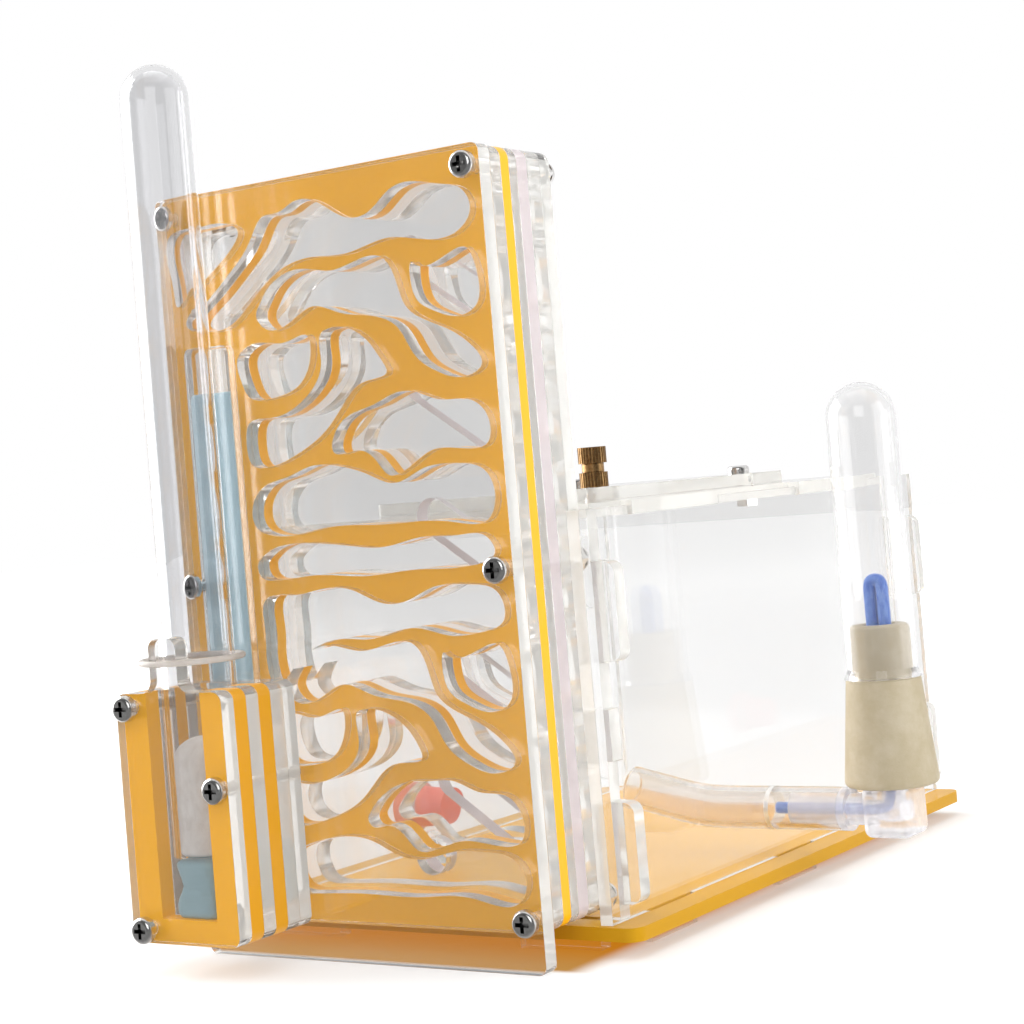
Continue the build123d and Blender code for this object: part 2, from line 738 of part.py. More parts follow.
def side_wall(side):
    """Side wall with foot tabs, tenon holes, notches for the top plate and the side port."""
    inner = side * wall_inner_x
    outer = side * wall_outer_x
    wall_plane = Plane(origin=(min(inner, outer), 0, 0), x_dir=(0, 1, 0), z_dir=(1, 0, 0))
    wall_bottom = base_top + joint_clearance
    with BuildPart() as wall:
        with BuildSketch(wall_plane):
            with Locations(((side_wall_front + side_wall_back) / 2, (wall_bottom + wall_top_height) / 2)):
                Rectangle(side_wall_length, wall_top_height - wall_bottom)
            foot_tabs(foot_tab_positions, foot_tab_length)
            for plate_middle, thickness in (
                ((back_cover_front + back_cover_back) / 2, back_cover_thickness),
                (rear_wall_front + box_wall_thickness / 2, box_wall_thickness),
            ):
                hole_width = thickness + 2 * joint_clearance
                with Locations(*[(plate_middle, middle) for middle in tenon_middle_heights]):
                    Rectangle(hole_width, tenon_height + 2 * joint_clearance, mode=Mode.SUBTRACT)
                with Locations((plate_middle, finger_middle)):
                    Rectangle(hole_width, finger_height + 2 * joint_clearance, mode=Mode.SUBTRACT)
            notch_bottom = top_plate_bottom - joint_clearance
            for position in top_tab_positions:
                with Locations((position, (notch_bottom + wall_top_height) / 2)):
                    Rectangle(
                        top_tab_length + 2 * joint_clearance,
                        wall_top_height - notch_bottom,
                        mode=Mode.SUBTRACT,
                    )
            with Locations((port_y, port_height)):
                Circle(port_radius, mode=Mode.SUBTRACT)
        extrude(amount=box_wall_thickness)
    return wall.part


with BuildPart() as right_wall:
    add(side_wall(1))
right_wall.part.label = "right_wall"

with BuildPart() as left_wall:
    add(side_wall(-1))
left_wall.part.label = "left_wall"

with BuildPart() as rear_wall:
    with BuildSketch(sheet_plane(box_rear_position)):
        rear_wall_bottom = base_top + joint_clearance
        with Locations((0, (rear_wall_bottom + wall_top_height) / 2)):
            Rectangle(2 * (wall_inner_x - joint_clearance), wall_top_height - rear_wall_bottom)
        wall_tenons(tenon_middle_heights, tenon_reach)
        with Locations((0, finger_middle)):
            Rectangle(box_outer_width, finger_height)
    extrude(amount=box_wall_thickness)
rear_wall.part.label = "rear_wall"

hatch_opening_front = hatch_front_position + hatch_overlap
hatch_opening_back = hinge_y - hatch_overlap
with BuildPart() as top_plate:
    with BuildSketch(Plane.XY.offset(top_plate_bottom)):
        with Locations((0, (top_plate_front + top_plate_back) / 2)):
            Rectangle(2 * (wall_inner_x - joint_clearance), top_plate_back - top_plate_front)
        with Locations(*[(0, position) for position in top_tab_positions]):
            Rectangle(box_outer_width, top_tab_length)
        with Locations((0, (hatch_opening_front + hatch_opening_back) / 2)):
            RectangleRounded(
                hatch_width - 2 * hatch_overlap,
                hatch_opening_back - hatch_opening_front,
                hatch_corner_radius,
                mode=Mode.SUBTRACT,
            )
        with Locations((-strip_screw_x, strip_screw_y), (strip_screw_x, strip_screw_y)):
            Circle(screw_hole_radius, mode=Mode.SUBTRACT)
    extrude(amount=top_plate_thickness)
top_plate.part.label = "top_plate"

# ---- hatch, hinged to a fixed strip by two short pins ----
hatch_plane = Plane((0, 0, hatch_bottom))
barrel_radius = hatch_thickness / 2
ear_notch_width = ear_width + 2 * hatch_gap
ear_notch_front = hinge_y - barrel_radius - hatch_gap
pin_inner_x = ear_x - ear_notch_width / 2 - pin_engagement
pin_middle_x = (hatch_width / 2 + pin_inner_x) / 2


def hinge_rods(radius, length, mode=Mode.ADD):
    """Two rods on the hinge axis, from the hatch's sides inwards."""
    for side in (-1, 1):
        with Locations(Location((side * pin_middle_x, hinge_y, hinge_height), (0, 90, 0))):
            Cylinder(radius, length, mode=mode)


with BuildPart() as hatch:
    with BuildSketch(hatch_plane):
        with Locations((0, (hatch_front_position + hinge_y) / 2)):
            Rectangle(hatch_width, hinge_y - hatch_front_position)
        with Locations((-ear_x, (ear_notch_front + hinge_y) / 2), (ear_x, (ear_notch_front + hinge_y) / 2)):
            Rectangle(ear_notch_width, hinge_y - ear_notch_front, mode=Mode.SUBTRACT)
    extrude(amount=hatch_thickness)
    barrel_lengths = [
        (0, 2 * (ear_x - ear_notch_width / 2)),
        (ear_x + ear_notch_width / 2 + (ear_inset - ear_notch_width / 2) / 2, ear_inset - ear_notch_width / 2),
        (-ear_x - ear_notch_width / 2 - (ear_inset - ear_notch_width / 2) / 2, ear_inset - ear_notch_width / 2),
    ]
    for middle_x, length in barrel_lengths:
        with Locations(Location((middle_x, hinge_y, hinge_height), (0, 90, 0))):
            Cylinder(barrel_radius, length)
    hinge_rods(pin_radius + pin_clearance, hatch_width / 2 - pin_inner_x, Mode.SUBTRACT)
    fillet(
        hatch.edges().filter_by(Axis.Z).group_by(Axis.Y)[0],
        radius=hatch_corner_radius,
    )
    with BuildSketch(hatch_plane):
        with Locations((knob_x, knob_y)):
            Circle(screw_hole_radius)
    extrude(amount=hatch_thickness, mode=Mode.SUBTRACT)
    with BuildSketch(hatch_plane):
        with Locations((knob_x, knob_y)):
            Circle(knob_screw_head_radius + screw_hole_clearance)
    with BuildSketch(hatch_plane.offset(knob_screw_head_depth)):
        with Locations((knob_x, knob_y)):
            Circle(screw_hole_radius)
    loft(mode=Mode.SUBTRACT)
hatch.part.label = "hatch"

with BuildPart() as hatch_strip:
    with BuildSketch(hatch_plane):
        with Locations((0, strip_front + strip_length / 2)):
            Rectangle(hatch_width, strip_length)
        with Locations((-ear_x, (hinge_y + strip_front) / 2), (ear_x, (hinge_y + strip_front) / 2)):
            Rectangle(ear_width, strip_front - hinge_y)
        with Locations((-strip_screw_x, strip_screw_y), (strip_screw_x, strip_screw_y)):
            Circle(screw_hole_radius, mode=Mode.SUBTRACT)
    extrude(amount=hatch_thickness)
    for side in (-1, 1):
        with Locations(Location((side * ear_x, hinge_y, hinge_height), (0, 90, 0))):
            Cylinder(barrel_radius, ear_width)
    hinge_rods(pin_radius + thread_clearance, hatch_width / 2 - pin_inner_x, Mode.SUBTRACT)
hatch_strip.part.label = "hatch_strip"

with BuildPart() as hinge_pins:
    hinge_rods(pin_radius, hatch_width / 2 - pin_inner_x - 2 * pin_clearance)
hinge_pins.part.label = "hinge_pins"

strip_screw = pan_screw(hatch_top - top_plate_bottom + nut_height)
strip_screw_points = [(-strip_screw_x, strip_screw_y), (strip_screw_x, strip_screw_y)]
with BuildPart() as strip_screws:
    for x, y in strip_screw_points:
        add(strip_screw.moved(Location((x, y, hatch_top))))
strip_screws.part.label = "strip_screws"

strip_nut = hex_nut()
with BuildPart() as strip_nuts:
    for x, y in strip_screw_points:
        add(strip_nut.moved(Location((x, y, top_plate_bottom - nut_height))))
strip_nuts.part.label = "strip_nuts"

knob_bottom = hatch_top + sheet_gap
knob_length = knob_lower_band + knob_neck_length + knob_upper_band
with BuildPart() as hatch_knob:
    with BuildSketch(Plane((knob_x, knob_y, knob_bottom))):
        Circle(knob_neck_radius)
    extrude(amount=knob_length)
    band_starts = [(0, knob_lower_band), (knob_lower_band + knob_neck_length, knob_upper_band)]
    for start, length in band_starts:
        with BuildSketch(Plane((knob_x, knob_y, knob_bottom + start))):
            Circle(knob_band_radius)
            with PolarLocations(knob_band_radius, knurl_count):
                Circle(knurl_radius, mode=Mode.SUBTRACT)
        extrude(amount=length)
    with BuildSketch(Plane((knob_x, knob_y, knob_bottom))):
        Circle(screw_radius + pin_clearance)
    extrude(amount=knob_length, mode=Mode.SUBTRACT)
hatch_knob.part.label = "hatch_knob"

with BuildPart() as knob_screw:
    with BuildSketch(Plane((knob_x, knob_y, hatch_bottom))):
        Circle(knob_screw_head_radius)
    with BuildSketch(Plane((knob_x, knob_y, hatch_bottom + knob_screw_head_depth))):
        Circle(screw_radius)
    loft()
    with BuildSketch(Plane((knob_x, knob_y, hatch_bottom))):
        Circle(screw_radius)
    extrude(amount=knob_bottom + knob_length - knob_screw_recess - hatch_bottom)
knob_screw.part.label = "knob_screw"

# ---- side ports: a plug on the left, the feeder hose on the right ----
with BuildPart() as port_plug:
    with BuildSketch(Plane.XY.offset(port_height)):
        with BuildLine():
            Polyline(
                (-wall_outer_x - plug_head_length - joint_clearance, port_y),
                (-wall_outer_x - plug_head_length - joint_clearance, port_y + plug_head_radius),
                (-wall_outer_x - joint_clearance, port_y + plug_head_radius),
                (-wall_outer_x - joint_clearance, port_y + hose_outer_radius),
                (-wall_inner_x, port_y + hose_outer_radius),
                (-wall_inner_x + plug_tip_length, port_y + hose_outer_radius - plug_taper),
                (-wall_inner_x + plug_tip_length, port_y),
                close=True,
            )
        make_face()
    revolve(axis=Axis((0, port_y, port_height), (1, 0, 0)))
port_plug.part.label = "port_plug"

port_plane = Plane(origin=(hose_outer_end, port_y, port_height), x_dir=(0, 1, 0), z_dir=(-1, 0, 0))
with BuildPart() as feeder_hose:
    with BuildLine(Plane.XZ.offset(-port_y)) as hose_path:
        Line((hose_outer_end, port_height), (hose_inner_end, port_height))
        JernArc(
            start=(hose_inner_end, port_height),
            tangent=(-1, 0),
            radius=hose_bend_radius,
            arc_size=-hose_bend_angle,
        )
        Line(hose_path.line @ 1, (hose_path.line @ 1) + (hose_path.line % 1) * hose_tail_run)
    with BuildSketch(port_plane):
        Circle(hose_outer_radius)
        Circle(hose_inner_radius, mode=Mode.SUBTRACT)
    sweep(path=hose_path.line)
feeder_hose.part.label = "feeder_hose"

with BuildPart() as feeder_elbow:
    with Locations((elbow_x, port_y, port_height)):
        Box(elbow_size, elbow_size, elbow_size)
    fillet(feeder_elbow.edges(), radius=elbow_round)
    elbow_left = elbow_x - elbow_size / 2
    leg_plane = Plane(origin=(elbow_left + elbow_round, port_y, port_height), x_dir=(0, 1, 0), z_dir=(-1, 0, 0))
    with BuildSketch(leg_plane):
        Circle(elbow_leg_radius)
    extrude(amount=elbow_left + elbow_round - elbow_leg_end)
    collar_plane = Plane(
        origin=(hose_outer_end + elbow_collar_length + hose_fit, port_y, port_height),
        x_dir=(0, 1, 0),
        z_dir=(-1, 0, 0),
    )
    with BuildSketch(collar_plane):
        Circle(elbow_collar_radius)
    extrude(amount=elbow_collar_length)
    with BuildSketch(Plane((elbow_x, port_y, elbow_top - elbow_round))):
        Circle(elbow_spigot_radius)
    extrude(amount=elbow_round + elbow_spigot_length)
    with BuildSketch(Plane(origin=(elbow_leg_end, port_y, port_height), x_dir=(0, 1, 0), z_dir=(1, 0, 0))):
        Circle(elbow_bore_radius)
    extrude(amount=elbow_x + elbow_bore_radius - elbow_leg_end, mode=Mode.SUBTRACT)
    bore_floor = port_height - elbow_bore_radius
    with BuildSketch(Plane((elbow_x, port_y, bore_floor))):
        Circle(elbow_bore_radius)
    extrude(amount=spigot_top - bore_floor, mode=Mode.SUBTRACT)
feeder_elbow.part.label = "feeder_elbow"

with BuildPart() as feeder_stopper:
    with BuildSketch(Plane.XZ.offset(-port_y)):
        with BuildLine():
            Polyline(
                (elbow_x + stopper_bore_radius, stopper_bottom),
                (elbow_x + stopper_bottom_radius, stopper_bottom),
                (elbow_x + stopper_shoulder_radius, stopper_shoulder),
                (elbow_x + stopper_plug_radius, stopper_shoulder),
                (elbow_x + stopper_tip_radius, stopper_top),
                (elbow_x + stopper_bore_radius, stopper_top),
                close=True,
            )
        make_face()
    revolve(axis=Axis((elbow_x, port_y, 0), (0, 0, 1)))
feeder_stopper.part.label = "feeder_stopper"

feeder_top = feeder_mouth + feeder_tube_length
with BuildPart() as feeder_tube:
    with BuildSketch(Plane.XZ.offset(-port_y)):
        with BuildLine():
            feeder_dome = feeder_top - feeder_tube_radius
            Polyline(
                (elbow_x + feeder_inner_radius, feeder_dome),
                (elbow_x + feeder_inner_radius, feeder_mouth),
                (elbow_x + feeder_rim_radius, feeder_mouth),
                (elbow_x + feeder_tube_radius, feeder_mouth + feeder_rim_length),
                (elbow_x + feeder_tube_radius, feeder_dome),
            )
            CenterArc((elbow_x, feeder_dome), feeder_tube_radius, 0, 90)
            Line((elbow_x, feeder_top), (elbow_x, feeder_top - feeder_tube_wall))
            CenterArc((elbow_x, feeder_dome), feeder_inner_radius, 0, 90)
        make_face()
    revolve(axis=Axis((elbow_x, port_y, 0), (0, 0, 1)))
feeder_tube.part.label = "feeder_tube"

wick_loop_radius = wick_strand_spacing / 2
wick_loop_height = wick_top_height - wick_radius - wick_loop_radius
wick_left_x = elbow_x - wick_loop_radius
wick_right_x = elbow_x + wick_loop_radius
wick_start_x = elbow_leg_end - wick_end_reach
with BuildPart() as feeder_wick:
    with BuildLine(Plane.XZ.offset(-port_y)) as wick_path:
        FilletPolyline(
            (wick_start_x, port_height),
            (elbow_x, port_height),
            (elbow_x, spigot_top),
            (wick_left_x, spigot_top + wick_drift_length),
            (wick_left_x, wick_loop_height),
            radius=[elbow_bore_radius, wick_drift_radius, wick_drift_radius],
        )
        CenterArc((elbow_x, wick_loop_height), wick_loop_radius, 180, -180)
        Line((wick_right_x, wick_loop_height), (wick_right_x, stopper_top - wick_return_depth))
    with BuildSketch(Plane(origin=(wick_start_x, port_y, port_height), x_dir=(0, 1, 0), z_dir=(1, 0, 0))):
        Circle(wick_radius)
    sweep(path=wick_path.line)
feeder_wick.part.label = "feeder_wick"

# ---- write every piece ----
pieces = [
    front_cover, tunnel_plate_clear, tunnel_plate_amber, divider_plate, gallery_spacer,
    rear_gallery_plate, back_cover, humidity_sponge, tower_screws, tower_nuts, corner_screw,
    reservoir_screws, reservoir_cover, reservoir_frame_front, reservoir_spacer,
    reservoir_frame_rear, reservoir_inner_frame, reservoir_back, water_tube, cotton_plug,
    sponge_block, neck_ring, base_plate, right_wall, left_wall, rear_wall, top_plate, hatch,
    hatch_strip, hinge_pins, strip_screws, strip_nuts, hatch_knob, knob_screw, port_plug,
    feeder_hose, feeder_elbow, feeder_stopper, feeder_tube, feeder_wick,
]
os.makedirs("parts", exist_ok=True)
for piece in pieces:
    export_step(piece.part, f"parts/{piece.part.label}.step")
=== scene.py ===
"""Looks of the ant habitat: its sheets, tubes, screws and soft pieces, with a studio around them."""
import logging
import math
from dataclasses import dataclass, field
from enum import Enum
from typing import Any, Optional, Sequence, Union

import bpy
import numpy as np
from mathutils import Matrix, Vector


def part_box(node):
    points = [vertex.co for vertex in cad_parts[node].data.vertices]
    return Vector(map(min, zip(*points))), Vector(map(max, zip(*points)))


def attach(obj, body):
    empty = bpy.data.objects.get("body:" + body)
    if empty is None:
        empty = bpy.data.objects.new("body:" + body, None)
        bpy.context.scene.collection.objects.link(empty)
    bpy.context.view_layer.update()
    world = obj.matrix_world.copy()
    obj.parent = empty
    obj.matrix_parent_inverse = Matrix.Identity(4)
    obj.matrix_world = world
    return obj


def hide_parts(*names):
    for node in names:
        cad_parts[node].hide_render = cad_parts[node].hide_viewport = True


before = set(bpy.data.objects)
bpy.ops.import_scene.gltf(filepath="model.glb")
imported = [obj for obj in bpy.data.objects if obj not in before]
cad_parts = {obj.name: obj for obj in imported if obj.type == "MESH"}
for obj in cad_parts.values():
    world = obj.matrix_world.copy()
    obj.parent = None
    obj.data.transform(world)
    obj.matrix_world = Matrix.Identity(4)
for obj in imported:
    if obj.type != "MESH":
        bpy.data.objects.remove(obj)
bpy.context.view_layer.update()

LOG = logging.getLogger("ant_habitat")
MM = 0.001
Colour = tuple[float, float, float]
Span = tuple[float, float]
Material = bpy.types.Material
Finishes = dict[str, Material]
DARK: Colour = (0.0, 0.0, 0.0)
WHITE: Colour = (1.0, 1.0, 1.0)
ACRYLIC_REFRACTION = 1.49
# How often a ray may bounce on its way through the clear sheets, and how many faces a ray to a lamp may cross.
GLASS_BOUNCES = 64
GLASS_LAYERS = 48
CREVICE_SAMPLES = 8
CORNER_SAMPLES = 4


class Axis(Enum):
    """The direction in which a sheet is thin."""

    ACROSS = 0
    BACK = 1
    UP = 2


# ---------------------------------------------------------------- shader maths


class Wire:
    """A shader socket that takes Python's arithmetic and adds the Math node it stands for."""

    def __init__(self, bench: "Bench", socket: bpy.types.NodeSocket) -> None:
        """Wraps a socket.

        Args:
            bench: the node tree that the socket belongs to.
            socket: the output socket.
        """
        self.bench = bench
        self.socket = socket

    def math(self, operation: str, *others: Union["Wire", float]) -> "Wire":
        """The result of a Math node.

        Args:
            operation: the Math node's operation.
            others: the values after this one.

        Returns:
            The node's output.
        """
        values = {place + 1: other for place, other in enumerate(others)}
        return self.bench.add("Math", {"operation": operation}, {0: self, **values})

    def __add__(self, other: Union["Wire", float]) -> "Wire":
        """This plus other."""
        return self.math("ADD", other)

    def __radd__(self, other: float) -> "Wire":
        """Other plus this."""
        return self.math("ADD", other)

    def __sub__(self, other: Union["Wire", float]) -> "Wire":
        """This minus other."""
        return self.math("SUBTRACT", other)

    def __rsub__(self, other: float) -> "Wire":
        """Other minus this."""
        return self.math("MULTIPLY", -1.0).math("ADD", other)

    def __mul__(self, other: Union["Wire", float]) -> "Wire":
        """This times other."""
        return self.math("MULTIPLY", other)

    def __abs__(self) -> "Wire":
        """This without its sign."""
        return self.math("ABSOLUTE")

    def step(self, low: float, high: float) -> "Wire":
        """Zero up to low, one from high, with a smooth rise between them.

        Args:
            low: where the rise starts.
            high: where the rise ends.

        Returns:
            The share, from 0 to 1.
        """
        settings = {"interpolation_type": "SMOOTHSTEP"}
        return self.bench.add("MapRange", settings, {"Value": self, "From Min": low, "From Max": high})


class Bench:
    """The node tree of a material or a world, filled node by node."""

    def __init__(self, holder: Union[Material, bpy.types.World], end: str = "ShaderNodeOutputMaterial") -> None:
        """Empties the tree but for its output node.

        Args:
            holder: the material or world.
            end: the output node's type.
        """
        holder.use_nodes = True
        self.holder = holder
        self.tree = holder.node_tree
        self.tree.nodes.clear()
        self.end = self.tree.nodes.new(end)

    def add(
        self,
        kind: str,
        settings: Optional[dict[str, Any]] = None,
        inputs: Optional[dict[Union[int, str], Any]] = None,
        output: Union[int, str] = 0,
    ) -> Wire:
        """Adds one node.

        Args:
            kind: the node's type, without its leading ShaderNode.
            settings: its properties, set first.
            inputs: values or wires for its sockets.
            output: the socket to give back.

        Returns:
            One of the node's outputs.
        """
        node = self.tree.nodes.new("ShaderNode" + kind)
        for name, value in (settings or {}).items():
            setattr(node, name, value)
        for name, value in (inputs or {}).items():
            if isinstance(value, Wire):
                self.tree.links.new(value.socket, node.inputs[name])
            else:
                node.inputs[name].default_value = value
        return Wire(self, node.outputs[output])

    def finish(self, surface: Wire) -> Union[Material, bpy.types.World]:
        """Links the surface and gives the material or world back."""
        self.tree.links.new(surface.socket, self.end.inputs["Surface"])
        return self.holder

    def place(self, scale: Sequence[float] = (1.0, 1.0, 1.0)) -> Wire:
        """Object coordinates in metres, stretched.

        Args:
            scale: the stretch along X, Y and Z.

        Returns:
            The coordinates.
        """
        coordinates = self.add("TexCoord", output="Object")
        return self.add("Mapping", inputs={"Vector": coordinates, "Scale": tuple(scale)})

    def shader(self, inputs: dict[str, Any]) -> Wire:
        """A Principled shader with these inputs."""
        return self.add("BsdfPrincipled", None, inputs)

    def toward(self, place: Wire, way: Sequence[float]) -> Wire:
        """How far a place or direction reaches along a way."""
        return self.add("VectorMath", {"operation": "DOT_PRODUCT"}, {0: place, 1: tuple(way)}, "Value")

    def looked_through(self) -> Wire:
        """One for a ray that has only passed through clear pieces, without a reflection, and zero for the rest."""
        passed = self.add("LightPath", output="Is Transmission Ray")
        return passed * (1.0 - self.depth("Glossy Depth"))

    def depth(self, kind: str) -> Wire:
        """One for a ray that has bounced in this way before, such as "Glossy Depth", and zero for the rest."""
        return self.add("LightPath", output=kind).math("MINIMUM", 1.0)

    def crevice(self, reach: float) -> Wire:
        """How deep a place lies in its own piece's hollows, from 0 in the open to 1.

        Args:
            reach: how far apart the hollow's walls may be, in metres.

        Returns:
            The share.
        """
        settings = {"only_local": True, "samples": CREVICE_SAMPLES}
        return 1.0 - self.add("AmbientOcclusion", settings, {"Distance": reach}, "AO")

    def facing(self, axis: Axis) -> Wire:
        """How far a face looks along an axis, from 0 to 1, by its own normal."""
        normal = self.add("TexCoord", output="Normal")
        return abs(self.add("SeparateXYZ", inputs={"Vector": normal}, output=axis.value))

    def along(self, axis: Axis) -> Wire:
        """Object coordinate along one axis, in metres."""
        return self.add("SeparateXYZ", inputs={"Vector": self.place()}, output=axis.value)

    def noise(self, place: Wire, scale: float, detail: float = 3.0, roughness: float = 0.5) -> Wire:
        """Cloudy noise from 0 to 1.

        Args:
            place: where it is read.
            scale: how many clouds to a unit.
            detail: finer layers.
            roughness: strength of the finer layers.

        Returns:
            The noise.
        """
        inputs = {"Vector": place, "Scale": scale, "Detail": detail, "Roughness": roughness}
        return self.add("TexNoise", None, inputs, "Fac")

    def blend(self, share: Union[Wire, float], first: Any, second: Any) -> Wire:
        """A colour between two colours.

        Args:
            share: 0 for the first, 1 for the second.
            first: a colour or a wire.
            second: a colour or a wire.

        Returns:
            The mixed colour.
        """
        settings = {"data_type": "RGBA", "blend_type": "MIX"}
        colours = [value if isinstance(value, Wire) else (*value, 1.0) for value in (first, second)]
        return self.add("Mix", settings, {0: share, 6: colours[0], 7: colours[1]}, 2)

    def bump(self, height: Wire, depth: float, normal: Optional[Wire] = None) -> Wire:
        """A normal for a relief.

        Args:
            height: the relief, from 0 to 1.
            depth: metres from 0 to 1.
            normal: the normal that it stands on, if not the surface's own.

        Returns:
            The normal.
        """
        base = {} if normal is None else {"Normal": normal}
        return self.add("Bump", None, {"Height": height, "Distance": depth, **base})

    def mix_shaders(self, share: Union[Wire, float], first: Wire, second: Wire) -> Wire:
        """A shader between two shaders."""
        return self.add("MixShader", None, {0: share, 1: first, 2: second})

    def let_lamps_through(self, surface: Wire, tint: Colour) -> Wire:
        """The surface, with a plain tint in its place for rays that look for lamps.

        Args:
            surface: the surface as it is seen.
            tint: the share of the light that passes.

        Returns:
            The combined shader.
        """
        passing = self.add("BsdfTransparent", None, {"Color": (*tint, 1.0)})
        shadow = self.add("LightPath", output="Is Shadow Ray")
        return self.mix_shaders(shadow, surface, passing)


# ---------------------------------------------------------------- finishes


def cut_edge(bench: Bench, axis: Axis) -> tuple[Wire, Wire]:
    """Where a sheet is cut, and the fine lines that a laser leaves there.

    Noise is squeezed along the sheet and drawn out through its thickness, so that it becomes stripes.

    Args:
        bench: the material.
        axis: the sheet's thin direction.

    Returns:
        1 on a cut edge and 0 on an open face, and the stripes, which are 0 on a face.
    """
    turn, spacing, drawn_out = (0.5, 0.9), 0.4 * MM, 20.0
    edge = 1.0 - bench.facing(axis).step(*turn)
    scale = [1.0 / spacing] * 3
    scale[axis.value] = drawn_out
    return edge, bench.noise(bench.place(scale), 1.0, detail=2.0, roughness=0.6) * edge


@dataclass(frozen=True)
class Finish:
    """A named look. Each kind of finish says what its surface is."""

    name: str

    def surface(self, bench: Bench) -> Wire:
        """The shader of the surface, built on the material's bench."""
        raise NotImplementedError

    def build(self) -> Material:
        """The finished material."""
        bench = Bench(bpy.data.materials.new(self.name))
        return bench.finish(self.surface(bench))


@dataclass(frozen=True)
class ClearSheet(Finish):
    """Clear cast acrylic: open faces, clear cut edges inside and milkier ones at the sheet's two upright sides."""

    axis: Axis
    face: Colour = (0.985, 0.985, 0.985)
    edge: Colour = (0.93, 0.925, 0.915)
    face_roughness: float = 0.0
    edge_roughness: float = 0.04
    line_depth: float = 0.01 * MM
    dust_scale: float = 900.0
    dust_share: Span = (0.62, 0.8)
    dust_roughness: float = 0.01
    edge_milk: float = 0.12
    corner: float = 0.25 * MM
    rim: Span = (-1.0, 1.0)
    rim_depth: float = 0.1 * MM
    rim_milk: float = 0.18
    face_milk: float = 0.01
    milk: Colour = (0.93, 0.92, 0.88)
    milk_roughness: float = 0.3
    passing: Colour = (0.95, 0.95, 0.95)

    def surface(self, bench: Bench) -> Wire:
        """Clear acrylic with a milky share, plainly tinted for rays to lamps."""
        edge, lines = cut_edge(bench, self.axis)
        dust = bench.noise(bench.place(), self.dust_scale, detail=2.0).step(*self.dust_share)
        roughness = edge * (self.edge_roughness - self.face_roughness) + self.face_roughness
        soft = bench.add("Bevel", {"samples": CORNER_SAMPLES}, {"Radius": self.corner})
        relief = bench.bump(lines, self.line_depth, normal=soft)
        surface = bench.shader({
            "Base Color": bench.blend(edge, self.face, self.edge),
            "Roughness": roughness + dust * self.dust_roughness,
            "IOR": ACRYLIC_REFRACTION,
            "Transmission Weight": 1.0,
            "Normal": relief,
        })
        scatter = bench.shader({
            "Base Color": (*self.milk, 1.0),
            "Roughness": self.milk_roughness,
            "Normal": relief,
        })
        across = bench.along(Axis.ACROSS)
        inner = across.step(self.rim[0] + self.rim_depth, self.rim[0] + 2 * self.rim_depth)
        outer = across.step(self.rim[1] - 2 * self.rim_depth, self.rim[1] - self.rim_depth)
        rim = (1.0 - inner + outer) * self.rim_milk
        cloud = edge * (self.edge_milk - self.face_milk + rim) + self.face_milk
        surface = bench.mix_shaders(cloud, surface, scatter)
        return bench.let_lamps_through(surface, self.passing)


@dataclass(frozen=True)
class AmberSheet(Finish):
    """Amber acrylic: glossy faces over a body with a painted glow, which stands in for light passing inside it, and
    deeper cut edges.
    """

    axis: Axis
    face: Colour = (0.90, 0.44, 0.018)
    edge: Colour = (0.84, 0.41, 0.005)
    gloss: float = 0.5
    # Painted glow: emitted colours of the faces and of the cut edges.
    glow: Colour = (0.18, 0.088, 0.0036)
    painted_edge_glow: Colour = (0.18, 0.088, 0.0036)
    face_roughness: float = 0.12
    edge_roughness: float = 0.3
    cloud_scale: float = 30.0
    cloud_share: float = 0.25
    edge_share: float = 0.9
    line_depth: float = 0.02 * MM

    def surface(self, bench: Bench) -> Wire:
        """Amber acrylic."""
        edge, lines = cut_edge(bench, self.axis)
        clouds = bench.noise(bench.place(), self.cloud_scale)
        body = bench.blend(clouds * self.cloud_share, self.face, self.edge)
        return bench.shader({
            "Base Color": bench.blend(edge * self.edge_share, body, self.edge),
            "Roughness": edge * (self.edge_roughness - self.face_roughness) + self.face_roughness,
            "IOR": ACRYLIC_REFRACTION,
            "Specular IOR Level": self.gloss,
            # Painted glow on the faces and cut edges.
            "Emission Color": bench.blend(edge, self.glow, self.painted_edge_glow),
            "Emission Strength": 1.0,
            "Normal": bench.bump(lines, self.line_depth),
        })


@dataclass(frozen=True)
class ClearPlastic(Finish):
    """Moulded clear plastic of tubes, hose and elbow, hazy by its roughness and by a little milk."""

    colour: Colour = (0.93, 0.93, 0.94)
    roughness: float = 0.0
    refraction: float = 1.47
    milk: float = 0.004
    milk_colour: Colour = (0.9, 0.89, 0.9)
    milk_roughness: float = 0.35
    haze_scale: float = 250.0
    haze_share: Span = (0.4, 0.8)
    haze_roughness: float = 0.5
    haze_milk: float = 0.3
    ripple_scale: float = 60.0
    ripple_stretch: float = 0.3
    ripple_depth: float = 0.01 * MM
    passing: Colour = (0.92, 0.92, 0.93)

    def surface(self, bench: Bench) -> Wire:
        """Clear plastic with a milky share, plainly tinted for rays to lamps."""
        ripple = bench.noise(bench.place((1.0, 1.0, self.ripple_stretch)), self.ripple_scale, detail=2.0)
        haze = bench.noise(bench.place(), self.haze_scale).step(*self.haze_share)
        relief = bench.bump(ripple, self.ripple_depth)
        surface = bench.shader({
            "Base Color": (*self.colour, 1.0),
            "Roughness": haze * (self.roughness * self.haze_roughness) + self.roughness,
            "IOR": self.refraction,
            "Transmission Weight": 1.0,
            "Normal": relief,
        })
        scatter = bench.shader({
            "Base Color": (*self.milk_colour, 1.0),
            "Roughness": self.milk_roughness,
            "Normal": relief,
        })
        surface = bench.mix_shaders(haze * (self.milk * self.haze_milk) + self.milk, surface, scatter)
        return bench.let_lamps_through(surface, self.passing)


